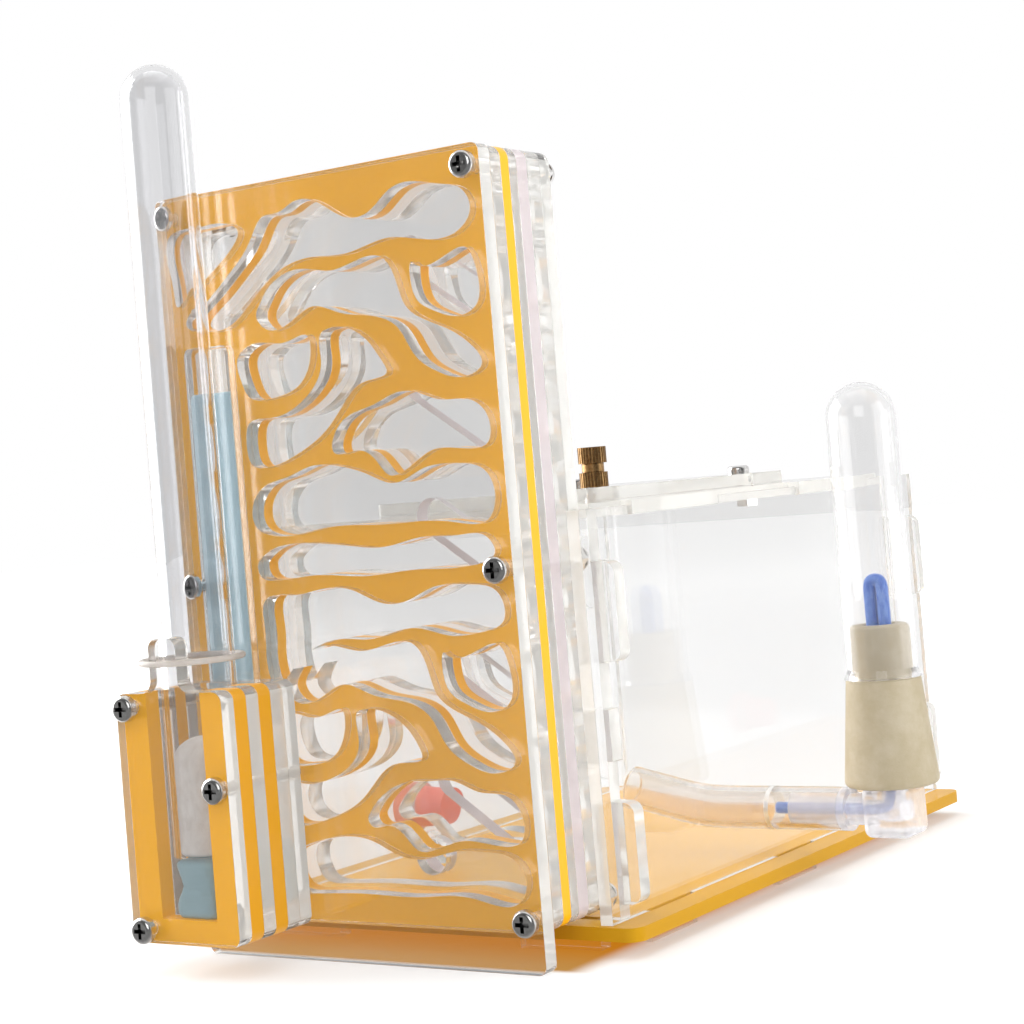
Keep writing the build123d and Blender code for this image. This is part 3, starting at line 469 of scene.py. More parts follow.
@dataclass(frozen=True)
class Metal(Finish):
    """Turned or pressed metal with handling marks, with painted shade in its hollows and on a screw's part behind
    the front sheet.
    """

    colour: Colour
    worn: Colour
    roughness: float
    # Painted shade: the colour of the metal's own hollows, and of a screw's part behind the front sheet.
    hollow: Colour = (0.03, 0.03, 0.03)
    hollow_shade_reach: float = 1.2 * MM
    hollow_shade_share: Span = (0.15, 0.6)
    painted_shank_shade: Colour = (0.2, 0.15, 0.11)
    shank_from: float = 10.0
    shank_rise: float = 0.4 * MM
    mark_scale: float = 1500.0
    mark_share: Span = (0.35, 0.75)
    mark_roughness: float = 0.15
    mark_depth: float = 0.02 * MM

    def surface(self, bench: Bench) -> Wire:
        """Worn metal, with painted shade in its hollows and on a screw behind the front sheet."""
        marks = bench.noise(bench.place(), self.mark_scale, detail=4.0, roughness=0.65)
        open_colour = bench.blend(marks.step(*self.mark_share), self.colour, self.worn)
        # Painted shade: past the front sheet the screw is coloured dark, for the shade inside its hole.
        behind = bench.along(Axis.BACK).step(self.shank_from, self.shank_from + self.shank_rise)
        open_colour = bench.blend(behind, open_colour, self.painted_shank_shade)
        # Painted shade: the metal darkens in its own hollows, such as a screw head's recess and the knob's knurls.
        hollow = bench.crevice(self.hollow_shade_reach).step(*self.hollow_shade_share)
        return bench.shader({
            "Base Color": bench.blend(hollow, open_colour, self.hollow),
            "Metallic": 1.0,
            "Roughness": marks * self.mark_roughness + self.roughness,
            "Normal": bench.bump(marks, self.mark_depth),
        })


@dataclass(frozen=True)
class Rubber(Finish):
    """Moulded rubber with a soft bloom."""

    colour: Colour
    bloom: Colour
    roughness: float = 0.55
    see_through: float = 0.0
    bloom_scale: float = 140.0
    bloom_share: Span = (0.3, 0.75)
    grain_scale: float = 2600.0
    grain_roughness: float = 0.15
    grain_depth: float = 0.04 * MM

    def surface(self, bench: Bench) -> Wire:
        """Rubber."""
        clouds = bench.noise(bench.place(), self.bloom_scale, detail=4.0, roughness=0.6)
        grain = bench.noise(bench.place(), self.grain_scale, roughness=0.6)
        return bench.shader({
            "Base Color": bench.blend(clouds.step(*self.bloom_share), self.colour, self.bloom),
            "Roughness": grain * self.grain_roughness + self.roughness,
            "Transmission Weight": self.see_through,
            "Normal": bench.bump(grain, self.grain_depth),
        })


@dataclass(frozen=True)
class Foam(Finish):
    """Open-cell sponge: round pores of two sizes in a soft matt body, with painted shade in the pores."""

    colour: Colour = (0.38, 0.58, 0.68)
    pore: Colour = (0.16, 0.30, 0.38)
    pore_size: float = 0.22 * MM
    fine_ratio: float = 2.3
    pore_rim: Span = (0.1, 0.45)
    pore_rise: Span = (0.05, 0.5)
    pore_shade: float = 0.2
    pore_depth: float = 0.06 * MM
    large_share: float = 0.7

    def surface(self, bench: Bench) -> Wire:
        """Sponge."""
        place = bench.place()
        cells, fine = (
            bench.add("TexVoronoi", None, {"Vector": place, "Scale": ratio / self.pore_size}, "Distance")
            for ratio in (1.0, self.fine_ratio)
        )
        # Painted shade: inside each pore the colour darkens toward the pore colour.
        hollow = 1.0 - cells.step(*self.pore_rim)
        height = cells.step(*self.pore_rise) * self.large_share + fine * (1.0 - self.large_share)
        return bench.shader({
            "Base Color": bench.blend(hollow * self.pore_shade, self.colour, self.pore),
            "Roughness": 0.9,
            "Sheen Weight": 0.3,
            "Sheen Roughness": 0.5,
            "Normal": bench.bump(height, self.pore_depth),
        })


@dataclass(frozen=True)
class Cotton(Finish):
    """Cotton wool: matt white with fine tangled fibres, and a painted glow that stands in for light scattered inside
    it.
    """

    colour: Colour = (0.93, 0.89, 0.84)
    shade: Colour = (0.74, 0.67, 0.61)
    glow: float = 0.17
    fibre_scale: float = 900.0
    fibre_stretch: float = 0.4
    fibre_share: float = 0.6
    fibre_depth: float = 0.5 * MM
    tuft_scale: float = 160.0
    tuft_share: Span = (0.35, 0.65)

    def surface(self, bench: Bench) -> Wire:
        """Cotton wool."""
        along = bench.place((1.0, 1.0, self.fibre_stretch))
        tangle = bench.noise(along, self.fibre_scale, detail=6.0, roughness=0.7)
        tufts = bench.noise(bench.place(), self.tuft_scale)
        lightness = (tangle * 0.5 + tufts * 0.5).step(*self.tuft_share)
        relief = tangle * self.fibre_share + tufts * (1.0 - self.fibre_share)
        return bench.shader({
            "Base Color": bench.blend(lightness, self.shade, self.colour),
            "Roughness": 0.95,
            "Sheen Weight": 0.4,
            # Painted glow: emission in the cotton's own colour.
            "Emission Color": (*self.colour, 1.0),
            "Emission Strength": self.glow,
            "Normal": bench.bump(relief, self.fibre_depth),
        })


@dataclass(frozen=True)
class Cord(Finish):
    """Blue felted wick yarn: soft fibres that run along it, with painted shade in the grooves between them."""

    colour: Colour = (0.045, 0.13, 0.50)
    light: Colour = (0.15, 0.28, 0.66)
    fibre_stretch: tuple[float, float, float] = (9.0, 0.6, 1.0)
    fibre_rise: Span = (0.3, 0.7)
    fibre_share: float = 0.7
    fibre_depth: float = 0.2 * MM
    fuzz_scale: float = 2500.0

    def surface(self, bench: Bench) -> Wire:
        """Yarn, read along its UV map."""
        uv = bench.add("UVMap", {"uv_map": "yarn"})
        along = bench.add("Mapping", None, {"Vector": uv, "Scale": self.fibre_stretch})
        fibres = bench.noise(along, 1.0, detail=4.0, roughness=0.6)
        fuzz = bench.noise(bench.place(), self.fuzz_scale)
        relief = fibres * self.fibre_share + fuzz * (1.0 - self.fibre_share)
        return bench.shader({
            # Painted shade: the colour is darker where the fibre relief is low, in the grooves.
            "Base Color": bench.blend(fibres.step(*self.fibre_rise), self.colour, self.light),
            "Roughness": 0.85,
            "Sheen Weight": 0.5,
            "Sheen Roughness": 0.4,
            "Normal": bench.bump(relief, self.fibre_depth),
        })


# ---------------------------------------------------------------- surfaces


class Ends(Enum):
    """What becomes of a surface's first and last rows."""

    OPEN = 0
    FANS = 1
    JOINED = 2


def grid_faces(rows: int, columns: int, wrap: bool, joined: bool) -> np.ndarray:
    """Corner numbers of the quads between the points of a grid.

    Each quad joins a point, its right neighbour, the one above that and the one above the point.

    Args:
        rows: points along the first parameter.
        columns: points along the second parameter.
        wrap: whether the last column joins the first.
        joined: whether the last row joins the first.

    Returns:
        An array of quads.
    """
    spans = columns if wrap else columns - 1
    row, column = np.meshgrid(np.arange(rows if joined else rows - 1), np.arange(spans), indexing="ij")
    right, above = (column + 1) % columns, (row + 1) % rows
    corners = (row * columns + column, row * columns + right, above * columns + right, above * columns + column)
    return np.stack(corners, -1).reshape(-1, 4)


def surface_object(name: str, points: np.ndarray, wrap: bool = True, ends: Ends = Ends.FANS) -> bpy.types.Object:
    """A mesh object from a grid of points.

    Args:
        name: the object's name.
        points: an array of rows, columns and three coordinates in metres.
        wrap: whether the columns close on themselves.
        ends: whether the end rows stay open, get a fan to a middle point, or join.

    Returns:
        The object, smooth shaded.
    """
    rows, columns, _ = points.shape
    flat = points.reshape(-1, 3)
    faces = grid_faces(rows, columns, wrap, ends is Ends.JOINED).tolist()
    if ends is Ends.FANS:
        flat = np.concatenate([flat, points[:1].mean(1), points[-1:].mean(1)])
        around = np.arange(columns)
        onward = (around + 1) % columns
        last = (rows - 1) * columns
        low = np.stack([np.full(columns, rows * columns), onward, around], -1)
        high = np.stack([np.full(columns, rows * columns + 1), last + around, last + onward], -1)
        faces += low.tolist() + high.tolist()
    mesh = bpy.data.meshes.new(name)
    mesh.from_pydata(flat.tolist(), [], faces)
    mesh.polygons.foreach_set("use_smooth", np.ones(len(mesh.polygons), dtype=bool))
    mesh.update()
    piece = bpy.data.objects.new(name, mesh)
    bpy.context.scene.collection.objects.link(piece)
    return piece


def lumps(points: np.ndarray, wave: float, seed: int, layers: int = 4) -> np.ndarray:
    """Smooth lumps between about -1 and 1: a sum of sine waves in fixed, seeded directions, each finer and weaker.

    Args:
        points: places in metres, any shape ending in three coordinates.
        wave: length of the longest wave in metres.
        seed: picks the directions.
        layers: how many finer sets of waves.

    Returns:
        One value for each place.
    """
    waves, finer, weaker = 6, 1.7, 1.5
    source = np.random.default_rng(seed)
    total = np.zeros(points.shape[:-1])
    for layer in range(layers):
        directions = source.normal(size=(waves, 3))
        directions /= np.linalg.norm(directions, axis=1, keepdims=True)
        phases = source.uniform(0.0, 2 * math.pi, waves)
        turns = 2 * math.pi * finer**layer / wave
        total += np.sin(points @ directions.T * turns + phases).mean(-1) / weaker**layer
    return total


def rounded_profile(corners: np.ndarray, cuts: np.ndarray, steps: int) -> np.ndarray:
    """A profile whose corners are rounded.

    Each corner becomes the quadratic Bezier curve that leaves one side a cut's length before the corner and joins
    the next side as far after it, with the corner as its middle control point.

    Args:
        corners: a closed outline's corners.
        cuts: length cut off at each corner.
        steps: points on each rounding.

    Returns:
        The rounded outline.
    """
    back, onward = np.roll(corners, 1, 0) - corners, np.roll(corners, -1, 0) - corners
    back, onward = (side / np.linalg.norm(side, axis=1, keepdims=True) for side in (back, onward))
    start, end = corners + back * cuts[:, None], corners + onward * cuts[:, None]
    share = np.linspace(0, 1, steps)[None, :, None]
    curve = (1 - share) ** 2 * start[:, None] + share**2 * end[:, None]
    curve = curve + 2 * share * (1 - share) * corners[:, None]
    return curve.reshape(-1, 2)


def turned(name: str, profile: np.ndarray, middle: Span, columns: int = 72) -> bpy.types.Object:
    """A turned piece: a closed profile of radius and height carried round an upright axis.

    Args:
        name: the object's name.
        profile: radii and heights, in metres.
        middle: the axis's place across and back.
        columns: points round the axis.

    Returns:
        The object.
    """
    turn = angles_round(columns)
    points = np.stack([
        middle[0] + profile[:, :1] * np.cos(turn),
        middle[1] + profile[:, :1] * np.sin(turn),
        np.broadcast_to(profile[:, 1:], (len(profile), columns)),
    ], -1)
    return surface_object(name, points, ends=Ends.JOINED)


def superellipse(angles: np.ndarray, power: float) -> np.ndarray:
    """A rounded square's outline: cosine and sine, each raised to a power below one with its sign kept.

    Args:
        angles: angles round the outline.
        power: 1 for a circle, near 0 for a square.

    Returns:
        Places across and along, each from -1 to 1.
    """
    wave = np.stack([np.cos(angles), np.sin(angles)], -1)
    return np.sign(wave) * np.abs(wave) ** power


def angles_round(columns: int) -> np.ndarray:
    """Evenly spaced angles once round."""
    return np.linspace(0, 2 * math.pi, columns, endpoint=False)


def quarter_round(share: np.ndarray, shrink: float = 1.0) -> np.ndarray:
    """A quarter circle's rise, from 1 - shrink where share is 0 to 1 where it is 1."""
    return 1 - shrink * (1 - np.sqrt(1 - (1 - share) ** 2))


def middle_and_half(name: str) -> tuple[np.ndarray, np.ndarray]:
    """The middle and the half sizes of a CAD node's box, in metres."""
    low, high = (np.array(corner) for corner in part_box(name))
    return (low + high) / 2, (high - low) / 2


def lofted(
    middle: np.ndarray, half: np.ndarray, outline: np.ndarray, width: np.ndarray, rise: np.ndarray
) -> np.ndarray:
    """An outline carried up through a box.

    Args:
        middle: the box's middle.
        half: its half sizes.
        outline: places across and back, each from -1 to 1.
        width: the outline's size at each height, as a share of the box's.
        rise: the heights, from -1 at the bottom to 1 at the top.

    Returns:
        An array of rows, columns and three coordinates.
    """
    points = np.empty((len(rise), len(outline), 3))
    points[..., :2] = middle[:2] + half[:2] * outline[None] * width[:, None, None]
    points[..., 2] = middle[2] + half[2] * rise[:, None]
    return points


def sides(name: str) -> Span:
    """A CAD node's lowest and highest place across, in metres."""
    low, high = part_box(name)
    return low[0], high[0]


def dress(material: Material, *names: str) -> None:
    """Gives CAD nodes a material.

    Args:
        material: the material.
        names: the nodes' names.
    """
    for name in names:
        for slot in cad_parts[name].material_slots:
            slot.material = material


def place_piece(piece: bpy.types.Object, material: Material, body: str, node: str) -> None:
    """Finishes a new piece that stands for a CAD node.

    Args:
        piece: the new piece.
        material: its material.
        body: the body that it rides on.
        node: the CAD node that it replaces.
    """
    piece.data.materials.append(material)
    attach(piece, body)
    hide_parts(node)
    LOG.info("%s: %d faces", piece.name, len(piece.data.polygons))


# ---------------------------------------------------------------- sub-assemblies


@dataclass
class NestTower:
    """The stacked sheets with the tunnels, their screws and nuts, and the humidity sponge."""

    sponge_rows: int = 160
    sponge_columns: int = 64
    sponge_squareness: float = 0.3
    sponge_waist: float = 0.25 * MM
    sponge_wave: float = 9 * MM
    end_round: float = 1.2 * MM
    end_shrink: float = 0.12

    def sponge(self) -> bpy.types.Object:
        """The humidity sponge: a rounded square's outline carried up the strip, pulled in by soft lumps.

        Returns:
            The strip.
        """
        middle, half = middle_and_half("humidity_sponge")
        angles = angles_round(self.sponge_columns)
        outline = superellipse(angles, self.sponge_squareness)
        rise = np.linspace(-1, 1, self.sponge_rows)
        ends = np.clip((1 - np.abs(rise)) * half[2] / self.end_round, 0, 1)
        points = lofted(middle, half, outline, quarter_round(ends, self.end_shrink), rise)
        inward = (points - middle) * (1, 1, 0)
        inward /= np.linalg.norm(inward, axis=-1, keepdims=True)
        depth = self.sponge_waist * (0.5 + 0.5 * lumps(points, self.sponge_wave, seed=3))
        points -= inward * np.clip(depth, 0, None)[..., None]
        return surface_object("humidity_sponge_strip", points)

    def build(self, finish: Finishes) -> None:
        """Dresses the tower.

        Args:
            finish: the materials by name.
        """
        dress(finish["cover"], "front_cover", "back_cover")
        dress(finish["tower"], "tunnel_plate_clear", "divider_plate", "rear_gallery_plate")
        dress(finish["milky"], "gallery_spacer")
        dress(finish["amber"], "tunnel_plate_amber")
        dress(finish["chrome"], "tower_screws", "tower_nuts", "corner_screw")
        sponge = self.sponge()
        place_piece(sponge, finish["foam"], "habitat", "humidity_sponge")


@dataclass
class WateringModule:
    """The small stack of sheets that holds the water tube, its sponge, cotton and ring."""

    cotton_rows: int = 90
    cotton_columns: int = 72
    cotton_crowding: float = 1.6
    cotton_dome: float = 5 * MM
    cotton_foot: float = 1.5 * MM
    foot_shrink: float = 0.2
    tuft_wave: float = 5 * MM
    tuft_depth: float = 0.35 * MM
    block_rows: int = 60
    block_columns: int = 72
    block_squareness: float = 0.35
    block_cut: float = 3.0 * MM
    block_bite: float = 2.2 * MM
    bite_start: float = 0.2
    block_round: float = 1.6 * MM
    round_shrink: float = 0.14
    torn_share: float = 0.04
    torn_wave: float = 8 * MM
    dent_wave: float = 5 * MM

    def cotton(self) -> bpy.types.Object:
        """The cotton plug: a circle carried up the tube, domed at the top, with tufted sides.

        Returns:
            The plug.
        """
        middle, half = middle_and_half("cotton_plug")
        angles = angles_round(self.cotton_columns)
        turn = np.linspace(-1, 1, self.cotton_rows)
        rise = np.sign(turn) * (1 - (1 - np.abs(turn)) ** self.cotton_crowding)
        upper = np.clip((1 - rise) * half[2] / self.cotton_dome, 0, 1)
        lower = np.clip((1 + rise) * half[2] / self.cotton_foot, 0, 1)
        width = quarter_round(upper) * quarter_round(lower, self.foot_shrink)
        circle = superellipse(angles, power=1.0)
        round_half = half[[0, 0, 2]]
        points = lofted(middle, round_half, circle, width, rise)
        tuft = np.clip(0.5 + 0.5 * lumps(points, self.tuft_wave, seed=11), 0, None)
        points[..., :2] -= circle[None] * (self.tuft_depth * tuft * width[:, None])[..., None]
        return surface_object("cotton_wool", points)

    def block(self) -> bpy.types.Object:
        """The torn sponge block: a rounded square carried upwards, bitten in at its left side and lumpy all round.

        The left side moves in by a cosine wave of the height, most above the middle. The top sinks unevenly, by
        lumps that are the same at every height.

        Returns:
            The block.
        """
        middle, half = middle_and_half("sponge_block")
        angles = angles_round(self.block_columns)
        outline = superellipse(angles, self.block_squareness)
        rise = np.linspace(0, 1, self.block_rows)
        corner = np.clip(np.minimum(rise, 1 - rise) * 2 * half[2] / self.block_round, 0, 1)
        points = lofted(middle, half, outline, quarter_round(corner, self.round_shrink), 2 * rise - 1)
        wave = 2 * math.pi * np.clip((rise - self.bite_start) / (1 - self.bite_start), 0, 1)
        bite = self.block_cut + self.block_bite * (0.5 - 0.5 * np.cos(wave))
        points[..., 0] += bite[:, None] * np.clip(-outline[None, :, 0], 0, 1)
        torn = self.torn_share * (1 + lumps(points * (1, 1, 0), self.torn_wave, seed=5)) / 2
        points[..., 2] = middle[2] - half[2] + 2 * half[2] * rise[:, None] * (1 - torn * rise[:, None])
        dents = self.torn_share * np.clip(lumps(points, self.dent_wave, seed=6), 0, 1)
        points[..., :2] -= (points[..., :2] - middle[:2]) * dents[..., None]
        return surface_object("sponge_pad", points)

    def build(self, finish: Finishes) -> None:
        """Dresses the module.

        Args:
            finish: the materials by name.
        """
        clear_sheets = ("reservoir_cover", "reservoir_spacer", "reservoir_inner_frame", "reservoir_back")
        dress(finish["module"], *clear_sheets)
        dress(finish["module_amber"], "reservoir_frame_front", "reservoir_frame_rear")
        dress(finish["module_chrome"], "reservoir_screws")
        dress(finish["tube"], "water_tube")
        dress(finish["ring"], "neck_ring")
        plug = self.cotton()
        place_piece(plug, finish["cotton"], "water_tube", "cotton_plug")
        pad = self.block()
        # The block wears the darker copy of the blue foam, a painted shade.
        place_piece(pad, finish["shaded_foam"], "habitat", "sponge_block")


class ForagingBox:
    """The box of interlocking sheets with its hinged hatch, knob and port plug."""

    def build(self, finish: Finishes) -> None:
        """Dresses the box.

        Args:
            finish: the materials by name.
        """
        dress(finish["across"], "right_wall", "left_wall")
        dress(finish["back"], "rear_wall")
        dress(finish["up"], "top_plate", "hatch", "hatch_strip")
        dress(finish["base_amber"], "base_plate")
        dress(finish["chrome"], "hinge_pins", "strip_screws", "strip_nuts", "knob_screw")
        dress(finish["brass"], "hatch_knob")
        dress(finish["red"], "port_plug")
        LOG.info("foraging box dressed")


@dataclass
class Feeder:
    """The side feeder: hose, elbow, stopper, tube and wick."""

    elbow_x: float = 83.1 * MM
    port_y: float = 95.2 * MM
    port_height: float = 18.3 * MM
    wick_start_x: float = 52.6 * MM
    spigot_top: float = 31.3 * MM
    strand_spacing: float = 3.15 * MM
    loop_top: float = 74.0 * MM
    bore_radius: float = 1.4 * MM
    wick_radius: float = 1.52 * MM
    return_bottom: float = 56.1 * MM
    ribs: int = 9
    rib_depth: float = 0.03
    stopper_bore: float = 3.7 * MM
    stopper_foot: Span = (11.2 * MM, 24.3 * MM)
    stopper_shoulder: Span = (8.8 * MM, 49.5 * MM)
    stopper_plug: float = 7.05 * MM
    stopper_tip: Span = (6.8 * MM, 62.1 * MM)
    stopper_cuts: tuple[float, ...] = (0.3 * MM, 1.6 * MM, 0.5 * MM, 0.1 * MM, 0.9 * MM, 0.3 * MM)
    rounding_steps: int = 7
    cone_steps: int = 40
    swell_length: float = 20 * MM
    fibre_wave: float = 3 * MM
    yarn_repeat: float = 2 * MM

    def wick_route(self, samples: int) -> np.ndarray:
        """The wick's middle line: a cubic B-spline through the elbow, up the stopper and round the loop.

        Each span's points are the four nearest route points weighted by the cubic B-spline's blending polynomials.

        Args:
            samples: points on each span.

        Returns:
            An array of points across and up, in metres.
        """
        left = self.elbow_x - self.strand_spacing / 2
        right = self.elbow_x + self.strand_spacing / 2
        loop = self.loop_top - self.wick_radius
        route = np.array([
            (self.wick_start_x, self.port_height), (self.elbow_x - 14 * MM, self.port_height),
            (self.elbow_x - 5 * MM, self.port_height), (self.elbow_x - 0.6 * MM, self.port_height + 0.6 * MM),
            (self.elbow_x, self.spigot_top - 7 * MM), (self.elbow_x, self.spigot_top + 1 * MM),
            (left, self.spigot_top + 9 * MM), (left, self.spigot_top + 18 * MM), (left, loop - 8 * MM),
            (left, loop - 3.2 * MM), (left, loop - 1.4 * MM), (left + 0.45 * MM, loop + 0.1 * MM),
            (right - 0.45 * MM, loop + 0.1 * MM), (right, loop - 1.4 * MM), (right, loop - 3.2 * MM),
            (right, loop - 8 * MM), (right, self.return_bottom),
        ])
        ends = np.concatenate([2 * route[:1] - route[1:2], route, 2 * route[-1:] - route[-2:-1]])
        step = np.linspace(0, 1, samples, endpoint=False)[:, None, None]
        spans = [ends[shift:len(ends) - 3 + shift][None] for shift in range(4)]
        weights = (
            (1 - step) ** 3 / 6, (3 * step**3 - 6 * step**2 + 4) / 6,
            (-3 * step**3 + 3 * step**2 + 3 * step + 1) / 6, step**3 / 6,
        )
        points = sum(weight * span for weight, span in zip(weights, spans))
        return points.transpose(1, 0, 2).reshape(-1, 2)

    def wick(self, samples: int = 24, columns: int = 54) -> bpy.types.Object:
        """The wick: a ribbed circle carried along the middle line, with a UV map round and along it.

        The radius grows above the elbow from the bore's to the loop's, and a cosine of the angle times the number
        of ribs is taken from it, with lumps that change along the yarn.

        Args:
            samples: points on each span of the route.
            columns: points round the yarn.

        Returns:
            The wick.
        """
        line = self.wick_route(samples)
        length = np.concatenate([[0], np.cumsum(np.linalg.norm(np.diff(line, axis=0), axis=1))])
        tangent = np.gradient(line, axis=0)
        tangent /= np.linalg.norm(tangent, axis=1, keepdims=True)
        side = np.stack([-tangent[:, 1], np.zeros(len(line)), tangent[:, 0]], -1)
        depth = np.array([0.0, 1.0, 0.0])
        turn = angles_round(columns)
        ring = np.cos(turn)[None, :, None] * side[:, None] + np.sin(turn)[None, :, None] * depth
        middle = np.stack([line[:, 0], np.full(len(line), self.port_y), line[:, 1]], -1)[:, None]
        share = np.clip((line[:, 1] - self.spigot_top) / self.swell_length, 0, 1)
        radius = self.bore_radius + (self.wick_radius - self.bore_radius) * share
        uneven = lumps(middle + ring * self.wick_radius, self.fibre_wave, seed=8)
        ribs = self.rib_depth * (np.cos(self.ribs * turn)[None] + uneven)
        points = middle + ring * (radius[:, None] * (1 - np.abs(ribs)))[..., None]
        wick = surface_object("wick_yarn", points)
        uv = wick.data.uv_layers.new(name="yarn")
        corners = np.empty(len(wick.data.loops), dtype=np.int32)
        wick.data.loops.foreach_get("vertex_index", corners)
        row = np.clip(corners // columns, 0, len(length) - 1)
        around = (corners % columns) / columns
        places = np.stack([around, length[row] / self.yarn_repeat], -1)
        uv.data.foreach_set("uv", places.astype(np.float32).ravel())
        return wick

    def stopper(self) -> bpy.types.Object:
        """The stopper: a rounded profile of its foot, cone, shoulder, plug, tip and bore, turned.

        Returns:
            The stopper.
        """
        corners = np.array([
            (self.stopper_bore, self.stopper_foot[1]), self.stopper_foot, self.stopper_shoulder,
            (self.stopper_plug, self.stopper_shoulder[1]), self.stopper_tip,
            (self.stopper_bore, self.stopper_tip[1]),
        ])
        profile = rounded_profile(corners, np.array(self.stopper_cuts), self.rounding_steps)
        cone_start = 2 * self.rounding_steps
        cone = np.linspace(profile[cone_start - 1], profile[cone_start], self.cone_steps)[1:-1]
        profile = np.concatenate([profile[:cone_start], cone, profile[cone_start:]])
        return turned("rubber_stopper", profile, (self.elbow_x, self.port_y))

    def build(self, finish: Finishes) -> None:
        """Dresses the feeder.

        Args:
            finish: the materials by name.
        """
        dress(finish["pale_tube"], "feeder_tube")
        dress(finish["elbow"], "feeder_elbow")
        dress(finish["hose"], "feeder_hose")
        place_piece(self.stopper(), finish["cream"], "feeder_elbow", "feeder_stopper")
        place_piece(self.wick(), finish["yarn"], "feeder_elbow", "feeder_wick")


# ---------------------------------------------------------------- studio


@dataclass
class Studio:
    """Camera, floor, lamps and surroundings."""

    camera_place: tuple[float, float, float] = (0.2973, -0.3728, 0.1032)
    camera_yaw: float = 33.80
    camera_pitch: float = 1.315
    camera_roll: float = -4.80
    camera_lens: float = 75.56
    camera_shift: float = -0.08
    camera_sensor: float = 36.0
    camera_nearest: float = 10 * MM
    floor_size: float = 6.0
    floor_points: int = 9
    floor_white: Colour = (0.86, 0.86, 0.86)
    floor_through: Colour = (0.7, 0.7, 0.7)
    floor_dark: Colour = (0.15, 0.15, 0.15)
    floor_far: Span = (0.3, 1.6)
    floor_front: Span = (-10 * MM, 30 * MM)
    floor_glow: Span = (0.2, 0.6)
    seen_glow: float = 0.68
    glinting: tuple[str, ...] = ("left_box", "fill_box")
    under_glow: Colour = (0.55, 0.19, 0.01)
    front_glow: Colour = (0.53, 0.27, 0.07)
    front_reach: float = 25 * MM
    glow_front: float = 2 * MM
    glow_start: Span = (-2 * MM, 2 * MM)
    glow_margin: Span = (-12 * MM, -2 * MM)
    bounced_white: float = 0.88
    surroundings: float = 0.5
    seen_through: float = 0.8
    dark_side: float = 0.8
    dark_way: tuple[float, float, float] = (0.26, -0.966, 0.0)
    dark_turn: Span = (0.0, 0.47)
    lamp_aim: tuple[float, float, float] = (0.0, 0.08, 0.08)
    lamps: list[tuple[str, tuple[float, float, float], float, float]] = field(default_factory=lambda: [
        ("left_box", (-0.95, -0.05, 0.4), 0.85, 11.5),
        ("right_box", (0.95, 0.2, 0.35), 0.8, 6.0),
        ("fill_box", (0.45, -0.95, 0.55), 0.7, 3.0),
        ("top_box", (0.05, 0.0, 1.1), 0.9, 3.0),
    ])

    def camera(self) -> None:
        """Aims the camera: yaw about the upright, pitch up and roll about the view line."""
        yaw, pitch, roll = (math.radians(a) for a in (self.camera_yaw, self.camera_pitch, self.camera_roll))
        forward = Vector((-math.sin(yaw) * math.cos(pitch), math.cos(yaw) * math.cos(pitch), math.sin(pitch)))
        level = Vector((math.cos(yaw), math.sin(yaw), 0.0))
        upright = level.cross(forward)
        right = level * math.cos(roll) + upright * math.sin(roll)
        up = upright * math.cos(roll) - level * math.sin(roll)
        turn = Matrix((right, up, -forward)).transposed().to_4x4()
        data = bpy.data.cameras.new("studio_camera")
        data.lens = self.camera_lens
        data.sensor_width = self.camera_sensor
        data.shift_y = self.camera_shift
        data.clip_start = self.camera_nearest
        seen_from = bpy.data.objects.new("studio_camera", data)
        seen_from.matrix_world = Matrix.Translation(self.camera_place) @ turn
        bpy.context.scene.collection.objects.link(seen_from)
        bpy.context.scene.camera = seen_from

    def floor(self) -> None:
        """A white floor that keeps the object's shadow."""
        half = self.floor_size / 2
        edge = np.linspace(-half, half, self.floor_points)
        across, back = np.meshgrid(edge, edge, indexing="ij")
        points = np.stack([across, back, np.zeros_like(across)], -1)
        floor = surface_object("studio_floor", points, wrap=False, ends=Ends.OPEN)
        floor.data.materials.append(self.floor_finish())

    def under_base(self, bench: Bench, inward: Wire) -> Wire:
        """How far a place lies under the base plate, from 0 to 1, with soft edges.

        Args:
            bench: the floor's material.
            inward: metres behind the place where the amber light starts.

        Returns:
            The share.
        """
        low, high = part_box("base_plate")
        side = abs(bench.along(Axis.ACROSS) - (low[0] + high[0]) / 2) - (high[0] - low[0]) / 2
        rear = inward - (high[1] - self.glow_front)
        beside, behind = (distance.step(*self.glow_margin) for distance in (side, rear))
        return (1.0 - beside) * (1.0 - behind) * inward.step(*self.glow_start)

    def floor_finish(self) -> Material:
        """The floor's material: matt white with a glow that grows with the distance, and amber light under the base.

        The white glow adds nothing to light that has bounced off a matt surface. In reflections the floor is dark
        towards the front, and through clear pieces it is a little greyer.

        Returns:
            The material.
        """
        bench = Bench(bpy.data.materials.new("studio_floor_white"))
        place = bench.place()
        far = bench.add("VectorMath", {"operation": "LENGTH"}, {0: place}, "Value").step(*self.floor_far)
        dark = bench.depth("Glossy Depth") * bench.toward(place, self.dark_way).step(*self.floor_front)
        inward = bench.along(Axis.BACK) - self.glow_front
        under = self.under_base(bench, inward)
        white = bench.blend(bench.looked_through(), self.floor_white, self.floor_through)
        white = bench.blend(dark, white, self.floor_dark)
        shade = bench.add("BsdfDiffuse", None, {"Color": bench.blend(under, white, DARK)})
        strength = (far * self.floor_glow[1] + self.floor_glow[0]) * (1.0 - bench.depth("Diffuse Depth"))
        direct = bench.add("LightPath", output="Is Camera Ray")
        strength = strength * (1.0 - dark) * (direct * (1.0 - self.seen_glow) + self.seen_glow)
        amber = bench.blend(inward.step(0.0, self.front_reach), self.front_glow, self.under_glow)
        glow = bench.add("Emission", None, {
            "Color": bench.blend(under, WHITE, amber),
            "Strength": strength * (1.0 - under) + under,
        })
        return bench.finish(bench.add("AddShader", None, {0: shade, 1: glow}))

